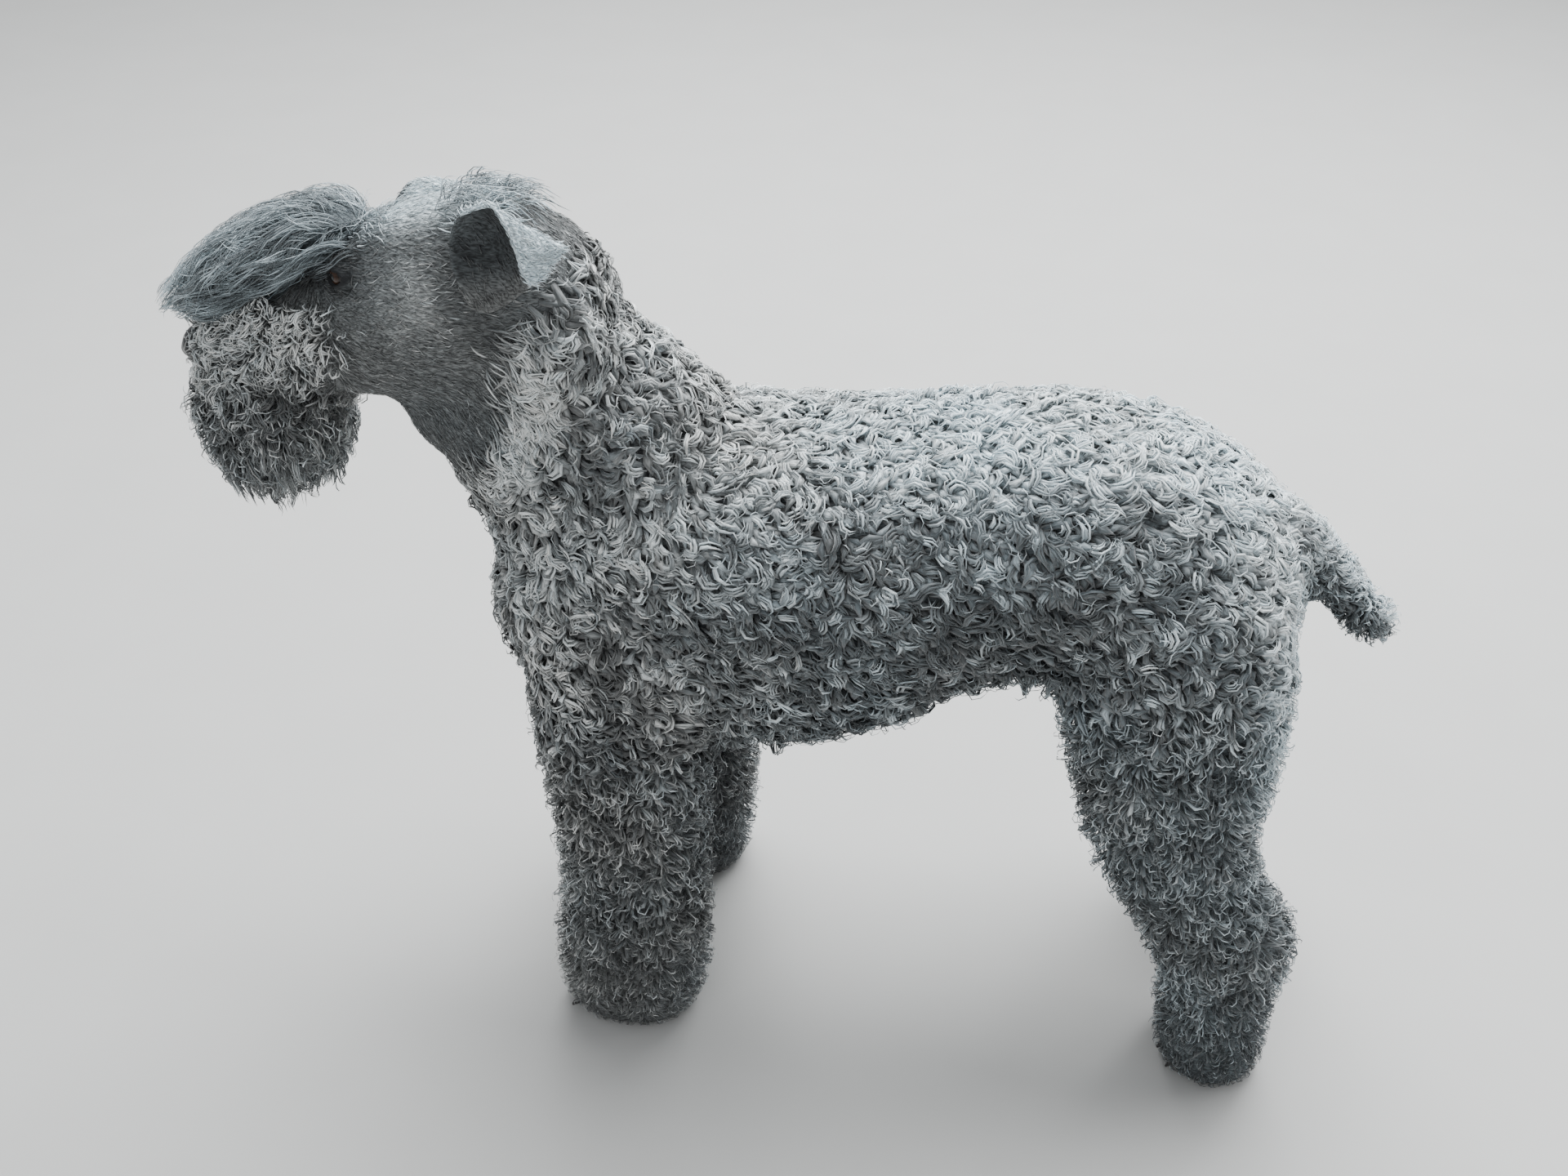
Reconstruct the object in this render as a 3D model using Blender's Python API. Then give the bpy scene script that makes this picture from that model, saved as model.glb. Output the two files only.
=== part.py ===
"""A Kerry Blue Terrier standing four-square, as a still, life-size museum model.

The solids give the dog's outline out to the tips of its curly coat. The flesh
(trunk, neck, head and legs) is modelled whole, as lofts through named stations
that are fused and smoothed, and is then parted into nodes by flat cuts 0.3 mm
wide. Eyes, nose pad, ears, beard and forelock are solids of their own, fitted
to the head with the same gap.

Metres, +Z up. The dog looks along -X, and its left side is towards -Y. The
origin is under the middle of the dog, on the floor.
"""
import math
from collections import namedtuple

import bmesh
import bpy
import numpy as np
from mathutils import Matrix, Vector

GAP = 0.0003                # clearance between neighbouring solids
FIT = 0.0008                # clearance that a solid is cut back by round a curved neighbour
VOXEL = 0.0055              # cell of the remesh that fuses the flesh
FLESH_FACES = 3500          # triangles left in the fused flesh before it is parted
RING_SIDES = 28             # points round a ring of the body
LOCK_SIDES = 14             # points round a ring of the beard and forelock
STEPS = 4                   # rings per stretch between two stations
SMOOTHING = 8               # passes that soften the joints between fused parts
CREASE = math.radians(40)   # edges sharper than this are drawn as edges

# Body lengths that the rest hangs on, with the coat on.
FORELEG_Y = 0.078           # leg centre from the middle plane
HINDLEG_Y = 0.080
RIGHT_FORELEG_BACK = 0.012  # the right forefoot stands this far behind the left
NECK_LEAN = -0.040          # the head is carried this far to the dog's left
HEAD_ORIGIN = Vector((-0.195, NECK_LEAN, 0.575))   # middle of the skull's back
HEAD_PITCH = math.radians(16)    # nose below level
HEAD_ROLL = math.radians(8)      # crown tipped to the dog's right
HEAD_YAW = math.radians(-2)      # nose turned to the dog's right

COAT_DARK = (0.055, 0.060, 0.066)
COAT_MID = (0.115, 0.123, 0.132)
SKIN_DARK = (0.018, 0.018, 0.020)
EYE_BROWN = (0.030, 0.014, 0.008)

# One loft station: ring centre, the lean of the ring's upper side from +Z
# towards +X in degrees, half width across, reach above and reach below.
Station = namedtuple("Station", "x y z lean wide above below")


# ---------------------------------------------------------------- mesh tools
def clear_scene():
    """Remove every object and mesh that the file starts with."""
    for thing in list(bpy.data.objects):
        bpy.data.objects.remove(thing, do_unlink=True)


def material(name, colour, roughness):
    """A plain Principled material."""
    made = bpy.data.materials.new(name)
    made.use_nodes = True
    shader = made.node_tree.nodes["Principled BSDF"]
    shader.inputs["Base Color"].default_value = (*colour, 1.0)
    shader.inputs["Roughness"].default_value = roughness
    return made


def add_object(name, mesh, finish=None):
    """Link a mesh to the scene under a node's name."""
    thing = bpy.data.objects.new(name, mesh)
    bpy.context.scene.collection.objects.link(thing)
    if finish:
        mesh.materials.clear()
        mesh.materials.append(finish)
    return thing


def mesh_from(name, points, faces):
    """A closed mesh with its faces turned outwards."""
    mesh = bpy.data.meshes.new(name)
    mesh.from_pydata([tuple(p) for p in points], [], faces)
    work = bmesh.new()
    work.from_mesh(mesh)
    bmesh.ops.recalc_face_normals(work, faces=work.faces)
    work.to_mesh(mesh)
    work.free()
    return mesh


def between(values, steps):
    """Catmull-Rom curve through rows of numbers, steps points per stretch."""
    rows = np.array(values, float)
    padded = np.vstack([2 * rows[0] - rows[1], rows, 2 * rows[-1] - rows[-2]])
    curve = []
    for i in range(1, len(padded) - 2):
        a, b, c, d = padded[i - 1:i + 3]
        for t in np.arange(steps) / steps:
            curve.append(0.5 * (2 * b + (c - a) * t + (2 * a - 5 * b + 4 * c - d) * t * t
                                + (3 * b - a - 3 * c + d) * t ** 3))
    curve.append(rows[-1])
    return np.array(curve)


def ring_points(station, square, sides, scale=1.0):
    """Points of one superellipse ring; square 2 is an ellipse, more is boxier."""
    lean = math.radians(station.lean)
    rise = Vector((math.sin(lean), 0.0, math.cos(lean)))
    centre = Vector((station.x, station.y, station.z))
    points = []
    for k in range(sides):
        angle = 2 * math.pi * k / sides
        c, s = math.cos(angle), math.sin(angle)
        across = math.copysign(abs(c) ** (2 / square), c) * station.wide * scale
        reach = station.above if s > 0 else station.below
        along = math.copysign(abs(s) ** (2 / square), s) * reach * scale
        points.append(centre + Vector((0, across, 0)) + rise * along)
    return points


def loft(name, stations, square=2.2, start_cap=0.0, end_cap=0.0, place=None,
         sides=RING_SIDES):
    """Closed loft through stations, with a rounded cap of given length at each end."""
    rows = [Station(*row) for row in between(stations, STEPS)]
    rings = [ring_points(row, square, sides) for row in rows]

    def cap(row, beyond, length):
        """Rings that shrink like a dome past the end station."""
        here, other = Vector((row.x, row.y, row.z)), Vector((beyond.x, beyond.y, beyond.z))
        outwards = (here - other).normalized()
        domes = []
        for j in (1, 2, 3):
            turn = math.radians(27 * j)
            moved = here + outwards * length * math.sin(turn)
            domes.append(ring_points(row._replace(x=moved.x, y=moved.y, z=moved.z),
                                     square, sides, math.cos(turn)))
        return domes

    if start_cap:
        rings = cap(rows[0], rows[1], start_cap)[::-1] + rings
    if end_cap:
        rings = rings + cap(rows[-1], rows[-2], end_cap)
    points = [p for ring in rings for p in ring]
    if place:
        points = [place @ p for p in points]
    n = sides
    faces = [(r * n + k, r * n + (k + 1) % n, (r + 1) * n + (k + 1) % n, (r + 1) * n + k)
             for r in range(len(rings) - 1) for k in range(n)]
    faces.append(tuple(range(n))[::-1])
    faces.append(tuple((len(rings) - 1) * n + k for k in range(n)))
    return mesh_from(name, points, faces)


def ellipsoid(name, centre, radii, place=None, rings=8, sides=14):
    """A closed ball stretched along the axes."""
    work = bmesh.new()
    bmesh.ops.create_uvsphere(work, u_segments=sides, v_segments=rings, radius=1.0)
    bmesh.ops.scale(work, vec=Vector(radii), verts=work.verts)
    bmesh.ops.translate(work, vec=Vector(centre), verts=work.verts)
    if place:
        bmesh.ops.transform(work, matrix=place, verts=work.verts, space=Matrix())
    mesh = bpy.data.meshes.new(name)
    work.to_mesh(mesh)
    work.free()
    return mesh


def evaluated(thing):
    """The mesh of an object after its modifiers, as a mesh of its own."""
    depsgraph = bpy.context.evaluated_depsgraph_get()
    return bpy.data.meshes.new_from_object(thing.evaluated_get(depsgraph))


def discard(thing):
    bpy.data.objects.remove(thing, do_unlink=True)


def fuse(name, meshes):
    """Fuse overlapping closed meshes into one smooth body of FLESH_FACES triangles."""
    work = bmesh.new()
    for mesh in meshes:
        work.from_mesh(mesh)
    joined = bpy.data.meshes.new(name)
    work.to_mesh(joined)
    work.free()
    thing = add_object(name, joined)
    remesh = thing.modifiers.new("fuse", "REMESH")
    remesh.mode = "VOXEL"
    remesh.voxel_size = VOXEL
    smooth = thing.modifiers.new("smooth", "SMOOTH")
    smooth.factor = 0.5
    smooth.iterations = SMOOTHING
    body = evaluated(thing)
    discard(thing)
    thing = add_object(name, body)
    triangles = sum(len(face.vertices) - 2 for face in body.polygons)
    thin = thing.modifiers.new("thin", "DECIMATE")
    thin.ratio = min(1.0, FLESH_FACES / triangles)
    fused = evaluated(thing)
    discard(thing)
    return fused


def boolean(mesh, other, operation):
    """One EXACT Boolean of two meshes, giving a new mesh."""
    first, second = add_object("first", mesh), add_object("second", other)
    step = first.modifiers.new("cut", "BOOLEAN")
    step.operation = operation
    step.solver = "EXACT"
    step.object = second
    result = evaluated(first)
    discard(first)
    discard(second)
    return result


def grown(mesh, distance=FIT):
    """A copy of a mesh pushed out along its vertex normals."""
    work = bmesh.new()
    work.from_mesh(mesh)
    work.normal_update()
    for vertex in work.verts:
        vertex.co += vertex.normal * distance
    copy = bpy.data.meshes.new("grown")
    work.to_mesh(copy)
    work.free()
    return copy


def biggest_piece(mesh):
    """The largest connected piece of a mesh, without crumbs a cut has left."""
    work = bmesh.new()
    work.from_mesh(mesh)
    unseen, pieces = set(work.verts), []
    while unseen:
        stack, piece = [unseen.pop()], []
        while stack:
            vertex = stack.pop()
            piece.append(vertex)
            for edge in vertex.link_edges:
                other = edge.other_vert(vertex)
                if other in unseen:
                    unseen.remove(other)
                    stack.append(other)
        pieces.append(piece)
    pieces.sort(key=len)
    for piece in pieces[:-1]:
        bmesh.ops.delete(work, geom=piece, context="VERTS")
    kept = bpy.data.meshes.new("kept")
    work.to_mesh(kept)
    work.free()
    return kept


def box(low, high):
    """An axis-aligned box between two corners."""
    low, high = Vector(low), Vector(high)
    work = bmesh.new()
    bmesh.ops.create_cube(work, size=1.0)
    bmesh.ops.scale(work, vec=high - low, verts=work.verts)
    bmesh.ops.translate(work, vec=(low + high) / 2, verts=work.verts)
    mesh = bpy.data.meshes.new("box")
    work.to_mesh(mesh)
    work.free()
    return mesh


def half_space(point, normal, back=0.0, size=1.6):
    """A big block whose near face passes through point, less back, facing -normal."""
    normal = Vector(normal).normalized()
    mesh = box((-size / 2, -size / 2, 0), (size / 2, size / 2, size))
    turn = normal.to_track_quat("Z", "Y").to_matrix().to_4x4()
    mesh.transform(Matrix.Translation(Vector(point) - normal * back) @ turn)
    return mesh


def head_place():
    """Head axes: +X runs from skull to nose, +Y to the dog's left, +Z to the crown."""
    forward_left_up = Matrix(((-1, 0, 0), (0, -1, 0), (0, 0, 1))).to_4x4()
    turn = (Matrix.Rotation(HEAD_YAW, 4, "Z") @ Matrix.Rotation(HEAD_PITCH, 4, "Y")
            @ Matrix.Rotation(HEAD_ROLL, 4, "X"))
    return Matrix.Translation(HEAD_ORIGIN) @ forward_left_up @ turn


def head_row(along, above, below, wide, rise=0.0, aside=0.0):
    """A station in head axes: its ring stands across the head."""
    return Station(along, aside, rise, 0.0, wide, above, below)


# -------------------------------------------------------------------- flesh
def trunk_mesh():
    """Chest, ribs, loin and rump, from the breast to the buttocks."""
    stations = [
        Station(-0.249, 0, 0.342, 0, 0.062, 0.055, 0.060),
        Station(-0.222, 0, 0.350, 0, 0.084, 0.082, 0.092),
        Station(-0.170, 0, 0.355, 0, 0.096, 0.106, 0.118),
        Station(-0.110, 0, 0.358, 0, 0.102, 0.120, 0.129),
        Station(-0.050, 0, 0.362, 0, 0.104, 0.118, 0.132),
        Station(0.010, 0, 0.372, 0, 0.105, 0.111, 0.117),
        Station(0.070, 0, 0.390, 0, 0.100, 0.100, 0.094),
        Station(0.130, 0, 0.400, 0, 0.096, 0.094, 0.090),
        Station(0.190, 0, 0.395, 0, 0.092, 0.086, 0.095),
        Station(0.240, 0, 0.380, 0, 0.078, 0.072, 0.080),
        Station(0.260, 0, 0.370, 0, 0.062, 0.056, 0.062),
    ]
    return loft("trunk", stations, 2.15, start_cap=0.020, end_cap=0.018)


def neck_mesh():
    """The arched neck, from the shoulders up to the back of the skull."""
    stations = [
        Station(-0.140, 0.000, 0.370, 48, 0.084, 0.092, 0.100),
        Station(-0.178, -0.004, 0.425, 50, 0.078, 0.097, 0.100),
        Station(-0.214, -0.016, 0.488, 47, 0.066, 0.081, 0.086),
        Station(-0.236, -0.029, 0.532, 38, 0.057, 0.068, 0.084),
        Station(-0.240, NECK_LEAN, 0.560, 16, 0.048, 0.080, 0.080),
    ]
    return loft("neck", stations, 2.1, start_cap=0.020, end_cap=0.010)


def throat_mesh():
    """The soft throat that fills the angle between jaw and neck."""
    return ellipsoid("throat", (-0.262, -0.036, 0.495), (0.045, 0.038, 0.045))


def head_mesh(place):
    """Skull, cheeks and muzzle under their short coat."""
    stations = [
        head_row(-0.020, 0.028, 0.046, 0.045),
        head_row(0.000, 0.050, 0.060, 0.051),
        head_row(0.030, 0.068, 0.063, 0.054),
        head_row(0.070, 0.073, 0.058, 0.054),
        head_row(0.105, 0.069, 0.048, 0.048),
        head_row(0.135, 0.054, 0.042, 0.040),
        head_row(0.170, 0.042, 0.040, 0.035),
        head_row(0.210, 0.035, 0.036, 0.031),
        head_row(0.240, 0.030, 0.031, 0.026),
    ]
    return loft("head", stations, 2.35, start_cap=0.008, end_cap=0.014, place=place)


def leg_mesh(name, side, offset, rows, top_cap, back=0.0):
    """A leg column from rows of height, front edge, rear edge, half width and inset."""
    stations = [Station((front + rear) / 2 + back, side * (offset + inset), height, -90, wide,
                        (rear - front) / 2, (rear - front) / 2)
                for height, front, rear, wide, inset in rows]
    return loft(name, stations, 2.25, start_cap=0.012, end_cap=top_cap)


def foreleg_mesh(side):
    """A straight furry column under the shoulder."""
    rows = [(-0.004, -0.206, -0.132, 0.036, 0.0),
            (0.012, -0.226, -0.118, 0.045, 0.0),
            (0.045, -0.232, -0.111, 0.049, 0.0),
            (0.100, -0.226, -0.107, 0.048, 0.0),
            (0.160, -0.222, -0.108, 0.047, 0.0),
            (0.220, -0.229, -0.107, 0.048, -0.003),
            (0.290, -0.236, -0.100, 0.046, -0.010),
            (0.350, -0.228, -0.098, 0.040, -0.018)]
    return leg_mesh("foreleg", side, FORELEG_Y, rows, 0.030, RIGHT_FORELEG_BACK * (side > 0))


def hindleg_mesh(side):
    """Thigh, hock and rear pastern, with the tuft of coat behind the hock."""
    rows = [(-0.004, 0.236, 0.290, 0.035, 0.0),
            (0.012, 0.221, 0.301, 0.043, 0.0),
            (0.045, 0.215, 0.303, 0.045, 0.0),
            (0.080, 0.212, 0.302, 0.045, 0.0),
            (0.110, 0.204, 0.308, 0.045, 0.0),
            (0.142, 0.186, 0.307, 0.046, 0.0),
            (0.185, 0.160, 0.276, 0.046, 0.0),
            (0.235, 0.141, 0.266, 0.049, -0.003),
            (0.290, 0.124, 0.275, 0.051, -0.008),
            (0.350, 0.114, 0.272, 0.049, -0.016),
            (0.400, 0.120, 0.262, 0.044, -0.026)]
    return leg_mesh("hindleg", side, HINDLEG_Y, rows, 0.030)


def tail_mesh():
    """The short tail, carried down and back."""
    stations = [Station(0.235, 0, 0.422, 40, 0.032, 0.028, 0.030),
                Station(0.266, 0, 0.405, 42, 0.026, 0.025, 0.021),
                Station(0.291, 0, 0.382, 46, 0.020, 0.021, 0.016),
                Station(0.314, 0, 0.358, 42, 0.017, 0.016, 0.016),
                Station(0.331, 0, 0.343, 44, 0.014, 0.013, 0.013)]
    return loft("tail", stations, 2.0, end_cap=0.012)


# ------------------------------------------------------------ head's details
EYE_ALONG, EYE_ASIDE, EYE_RISE, EYE_RADIUS = 0.115, 0.0290, 0.042, 0.0105


def eye_mesh(side, place):
    """One eyeball, set in the brow."""
    centre = (EYE_ALONG, side * EYE_ASIDE, EYE_RISE)
    return ellipsoid("eye", centre, (EYE_RADIUS,) * 3, place, rings=8, sides=12)


def nose_mesh(place):
    """The nose pad, wrapped over the muzzle's end."""
    return ellipsoid("nose", (0.246, 0, 0.010), (0.014, 0.0165, 0.0135), place)


def beard_mesh(place):
    """Whiskers and beard round the muzzle, squared off below."""
    stations = [head_row(0.150, 0.024, 0.030, 0.030, -0.026),
                head_row(0.166, 0.044, 0.048, 0.044, -0.032),
                head_row(0.188, 0.053, 0.051, 0.049, -0.036),
                head_row(0.214, 0.056, 0.054, 0.049, -0.036),
                head_row(0.238, 0.052, 0.046, 0.042, -0.031),
                head_row(0.250, 0.036, 0.034, 0.031, -0.026)]
    return loft("beard", stations, 2.3, 0.006, 0.009, place, LOCK_SIDES)


def forelock_mesh(place):
    """The fall of hair from the brow, forward over the eyes to the nose."""
    stations = [head_row(0.098, 0.011, 0.012, 0.028, 0.061),
                head_row(0.116, 0.027, 0.020, 0.041, 0.051),
                head_row(0.142, 0.037, 0.024, 0.046, 0.048),
                head_row(0.180, 0.041, 0.026, 0.046, 0.045),
                head_row(0.213, 0.033, 0.022, 0.041, 0.038),
                head_row(0.236, 0.020, 0.015, 0.029, 0.032)]
    return loft("forelock", stations, 2.2, 0.005, 0.009, place, LOCK_SIDES)


def ear_sheet(name, rows, thick, side, place):
    """A curved flap: rows of points from base to tip, thickened by a Solidify."""
    across = [between(row, 3) for row in rows]
    grid = between([line.ravel() for line in across], 3)
    grid = grid.reshape(len(grid), -1, 3)
    points = [place @ Vector((p[0], side * p[1], p[2])) for line in grid for p in line]
    n = grid.shape[1]
    faces = [(r * n + k, r * n + k + 1, (r + 1) * n + k + 1, (r + 1) * n + k)
             for r in range(grid.shape[0] - 1) for k in range(n - 1)]
    mesh = bpy.data.meshes.new(name)
    mesh.from_pydata([tuple(p) for p in points], [], faces)
    thing = add_object(name, mesh)
    shell = thing.modifiers.new("thick", "SOLIDIFY")
    shell.thickness = thick
    shell.offset = 0.0
    solid = evaluated(thing)
    discard(thing)
    work = bmesh.new()
    work.from_mesh(solid)
    bmesh.ops.recalc_face_normals(work, faces=work.faces)
    work.to_mesh(solid)
    work.free()
    return solid


# One row per line round the ear, from its root to its free edge; each row runs
# from the front rim, across the hollow, over the ridge, to the rear edge.
FLIPPED_EAR = [
    [(0.038, 0.058, 0.020), (0.028, 0.059, 0.014), (0.014, 0.060, 0.012),
     (-0.005, 0.065, 0.022), (-0.014, 0.060, 0.021)],
    [(0.041, 0.057, 0.040), (0.028, 0.054, 0.038), (0.010, 0.054, 0.036),
     (-0.011, 0.072, 0.039), (-0.027, 0.057, 0.031)],
    [(0.035, 0.058, 0.055), (0.022, 0.051, 0.057), (0.006, 0.052, 0.056),
     (-0.013, 0.074, 0.054), (-0.034, 0.055, 0.041)],
    [(0.020, 0.060, 0.064), (0.010, 0.059, 0.070), (-0.002, 0.066, 0.072),
     (-0.012, 0.071, 0.065), (-0.024, 0.061, 0.055)],
]
# The right ear is carried as the breed does: up, then folded forward.
FOLDED_EAR = [
    [(0.078, 0.030, 0.056), (0.064, 0.036, 0.052), (0.048, 0.044, 0.044)],
    [(0.096, 0.034, 0.066), (0.084, 0.042, 0.072), (0.062, 0.050, 0.062)],
    [(0.108, 0.043, 0.060), (0.096, 0.051, 0.061), (0.076, 0.058, 0.052)],
    [(0.115, 0.048, 0.040), (0.108, 0.053, 0.037), (0.098, 0.056, 0.037)],
]
EAR_THICK = 0.0045


# ---------------------------------------------------------- parting and fitting
def split(body, point, normal):
    """Part a body at a plane: the side the normal points to, and the rest."""
    ahead = boolean(body, half_space(point, normal), "INTERSECT")
    behind = boolean(body, half_space(point, normal, GAP), "DIFFERENCE")
    return ahead, behind


def take(body, low, high):
    """Part a body at a box: what lies inside it, and the rest."""
    gap = Vector((GAP, GAP, GAP))
    inside = boolean(body, box(low, high), "INTERSECT")
    outside = boolean(body, box(Vector(low) - gap, Vector(high) + gap), "DIFFERENCE")
    return inside, outside


def fit(mesh, *neighbours):
    """Cut a solid back until it clears its neighbours by the gap."""
    for neighbour in neighbours:
        mesh = boolean(mesh, grown(neighbour), "DIFFERENCE")
    return biggest_piece(mesh)


NECK_CUT = ((-0.250, 0, 0.534), (-0.704, 0, 0.710))
SHOULDER_CUT = ((-0.170, 0, 0.410), (-0.659, 0, 0.752))
TAIL_CUT = ((0.277, 0, 0.392), (0.963, 0, 0.270))
LEG_INNER = 0.026           # legs leave the trunk outside this distance from the middle
LEG_OUTER = 0.25            # beyond the outer side of any leg
BELOW = -0.1                # beneath the floor
FORELEG_BOX = ((-0.320, -0.088), 0.256)   # reach along X, and top
HINDLEG_BOX = ((0.108, 0.330), 0.330)
PAW_TOP = 0.052
FLOOR = ((-1, -1, -1), (1, 1, 0))


def part_flesh(flesh):
    """Part the fused flesh into head, neck, tail, legs, paws and trunk."""
    nodes = {}
    rest = boolean(flesh, box(*FLOOR), "DIFFERENCE")
    nodes["head"], rest = split(rest, *NECK_CUT)
    nodes["neck"], rest = split(rest, *SHOULDER_CUT)
    nodes["tail"], rest = split(rest, *TAIL_CUT)
    for leg, ((front, rear), top) in (("foreleg", FORELEG_BOX), ("hindleg", HINDLEG_BOX)):
        for name, side in (("left", -1), ("right", 1)):
            near, far = sorted((side * LEG_INNER, side * LEG_OUTER))
            whole, rest = take(rest, (front, near, BELOW), (rear, far, top))
            whole, paw = split(whole, (0, 0, PAW_TOP), (0, 0, 1))
            nodes[f"{leg}_{name}"] = whole
            nodes[f"{leg[:4]}paw_{name}"] = paw
    nodes["trunk"] = rest
    return nodes


FINISHES = {                # colour and roughness of each kind of node
    "eye": (EYE_BROWN, 0.08),
    "nose": (SKIN_DARK, 0.35),
    "ear": (COAT_DARK, 0.85),
    "head": (COAT_DARK, 0.85),
    "beard": (COAT_DARK, 0.90),
    "forelock": (COAT_MID, 0.85),
}
COAT_FINISH = (COAT_MID, 0.90)


def finish_node(name, mesh, shift):
    """Move a node's mesh to its place on the floor and give it its material."""
    mesh.transform(Matrix.Translation(shift))
    thing = add_object(name, mesh, material(name, *FINISHES.get(name.split("_")[0], COAT_FINISH)))
    mesh.shade_smooth()
    mesh.set_sharp_from_angle(angle=CREASE)
    return thing


def main():
    """Make every node and stand the dog over the origin."""
    clear_scene()
    place = head_place()
    flesh = fuse("flesh", [trunk_mesh(), neck_mesh(), throat_mesh(), head_mesh(place),
                           tail_mesh(), foreleg_mesh(1), foreleg_mesh(-1), hindleg_mesh(1),
                           hindleg_mesh(-1)])
    nodes = part_flesh(flesh)
    nodes["nose"] = nose_mesh(place)
    nodes["eye_left"], nodes["eye_right"] = eye_mesh(1, place), eye_mesh(-1, place)
    organs = [nodes[name] for name in ("nose", "eye_left", "eye_right")]
    forelock = fit(forelock_mesh(place), nodes["head"], *organs)
    nodes["beard"] = fit(beard_mesh(place), nodes["head"], nodes["nose"], forelock_mesh(place))
    for name, rows, side in (("ear_left", FLIPPED_EAR, 1), ("ear_right", FOLDED_EAR, -1)):
        sheet = ear_sheet(name, rows, EAR_THICK, side, place)
        nodes[name] = fit(sheet, nodes["head"], nodes["neck"], forelock_mesh(place))
    nodes["forelock"] = forelock
    nodes["head"] = fit(nodes["head"], *organs)

    corners = np.array([vertex.co for mesh in nodes.values() for vertex in mesh.vertices])
    middle = (corners.min(axis=0) + corners.max(axis=0)) / 2
    shift = Vector((-middle[0], -middle[1], -corners[:, 2].min()))
    for name, mesh in nodes.items():
        finish_node(name, mesh, shift)
    print("stood over the origin by", tuple(round(c, 5) for c in shift))


main()
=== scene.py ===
"""The looks of a standing terrier, a still life-size model with a curly blue-grey coat.

Run as a script in Blender. One skin stands for the flesh; locks of hair, each a
small closed surface, are rooted on it and follow the lie of the coat.
"""

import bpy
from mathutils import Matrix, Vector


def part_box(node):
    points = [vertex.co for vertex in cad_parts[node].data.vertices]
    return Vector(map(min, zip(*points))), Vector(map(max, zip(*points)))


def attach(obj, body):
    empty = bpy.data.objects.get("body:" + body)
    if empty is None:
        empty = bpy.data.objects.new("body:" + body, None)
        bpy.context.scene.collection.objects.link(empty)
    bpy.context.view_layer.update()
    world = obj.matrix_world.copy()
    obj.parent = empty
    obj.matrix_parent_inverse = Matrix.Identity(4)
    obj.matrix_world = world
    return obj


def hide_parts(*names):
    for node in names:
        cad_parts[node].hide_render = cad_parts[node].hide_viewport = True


bl_info = {
    "name": "Curly terrier",
    "version": (1, 0, 0),
    "blender": (4, 5, 0),
    "location": "View3D > Sidebar > Terrier",
    "description": "Skin, eyes, nose, claws and coat of a standing terrier",
    "category": "Object",
}

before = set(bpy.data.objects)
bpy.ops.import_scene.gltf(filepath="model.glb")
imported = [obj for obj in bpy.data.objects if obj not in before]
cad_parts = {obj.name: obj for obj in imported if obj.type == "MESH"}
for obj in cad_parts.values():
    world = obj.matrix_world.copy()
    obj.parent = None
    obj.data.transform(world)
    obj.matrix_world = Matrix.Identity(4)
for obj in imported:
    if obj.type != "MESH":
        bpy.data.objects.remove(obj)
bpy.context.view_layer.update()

import math
from collections import namedtuple

import bmesh
import bpy
import numpy as np
from mathutils import Vector

FLESH = ("head", "neck", "trunk", "tail", "foreleg_left", "foreleg_right", "forepaw_left",
         "forepaw_right", "hindleg_left", "hindleg_right", "hindpaw_left", "hindpaw_right")


# ------------------------------------------------------------------ settings
def a_number(name, description, default, unit="LENGTH"):
    """A setting with a unit, a length in metres if nothing else is said."""
    return bpy.props.FloatProperty(name=name, description=description, default=default,
                                   unit=unit)


def a_colour(name, description, default):
    """A setting that is a colour."""
    return bpy.props.FloatVectorProperty(name=name, description=description,
                                         default=default, size=3, subtype="COLOR")


def a_tint(name, description, default):
    """A setting that multiplies a colour, and may brighten it."""
    return bpy.props.FloatVectorProperty(name=name, description=description,
                                         default=default, size=3, soft_max=2.0)


class SkinSettings(bpy.types.PropertyGroup):
    """How deep the skin lies under the coat's outline."""
    cell: a_number("Cell", "Size of the skin's faces", 0.0042)
    trunk_depth: a_number("Body coat", "Depth of the coat on the body", 0.0095)
    leg_depth: a_number("Leg coat", "Depth of the coat on the legs", 0.012)
    neck_depth: a_number("Neck coat", "Depth of the coat on the neck", 0.009)
    tail_depth: a_number("Tail coat", "Depth of the coat on the tail", 0.006)
    clipped_depth: a_number("Clipped coat", "Depth of the short coat on head and throat", 0.0032)
    colour: a_colour("Skin", "Colour of skin and undercoat", (0.020, 0.021, 0.023))


class CoatSettings(bpy.types.PropertyGroup):
    """Sizes and colours of the locks."""
    fleece_spacing: a_number(
        "Fleece spacing", "Distance between roots of the broad under locks", 0.0053)
    curl_spacing: a_number("Curl spacing", "Distance between groups of nested curls", 0.0078)
    wisp_spacing: a_number("Wisp spacing", "Distance between roots of the fine wisps", 0.0072)
    short_spacing: a_number("Clipped spacing", "Distance between short tufts", 0.0027)
    curl_length: a_number("Curl length", "Length of a curl on the body", 0.020)
    curl_width: a_number("Curl width", "Half width of a strand of a curl", 0.00110)
    dark: a_colour("Dark", "Colour at the roots and of dark locks", (0.026, 0.028, 0.030))
    middle: a_colour("Middle", "Colour of most of the coat", (0.170, 0.181, 0.188))
    silver: a_colour("Silver", "Colour of the lightest locks and tips", (0.93, 0.97, 0.99))
    warm: a_tint("Warm", "Tint of the clipped coat", (1.04, 1.0, 0.95))
    cool: a_tint("Cool", "Tint of the back and legs", (0.88, 1.0, 1.05))


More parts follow.
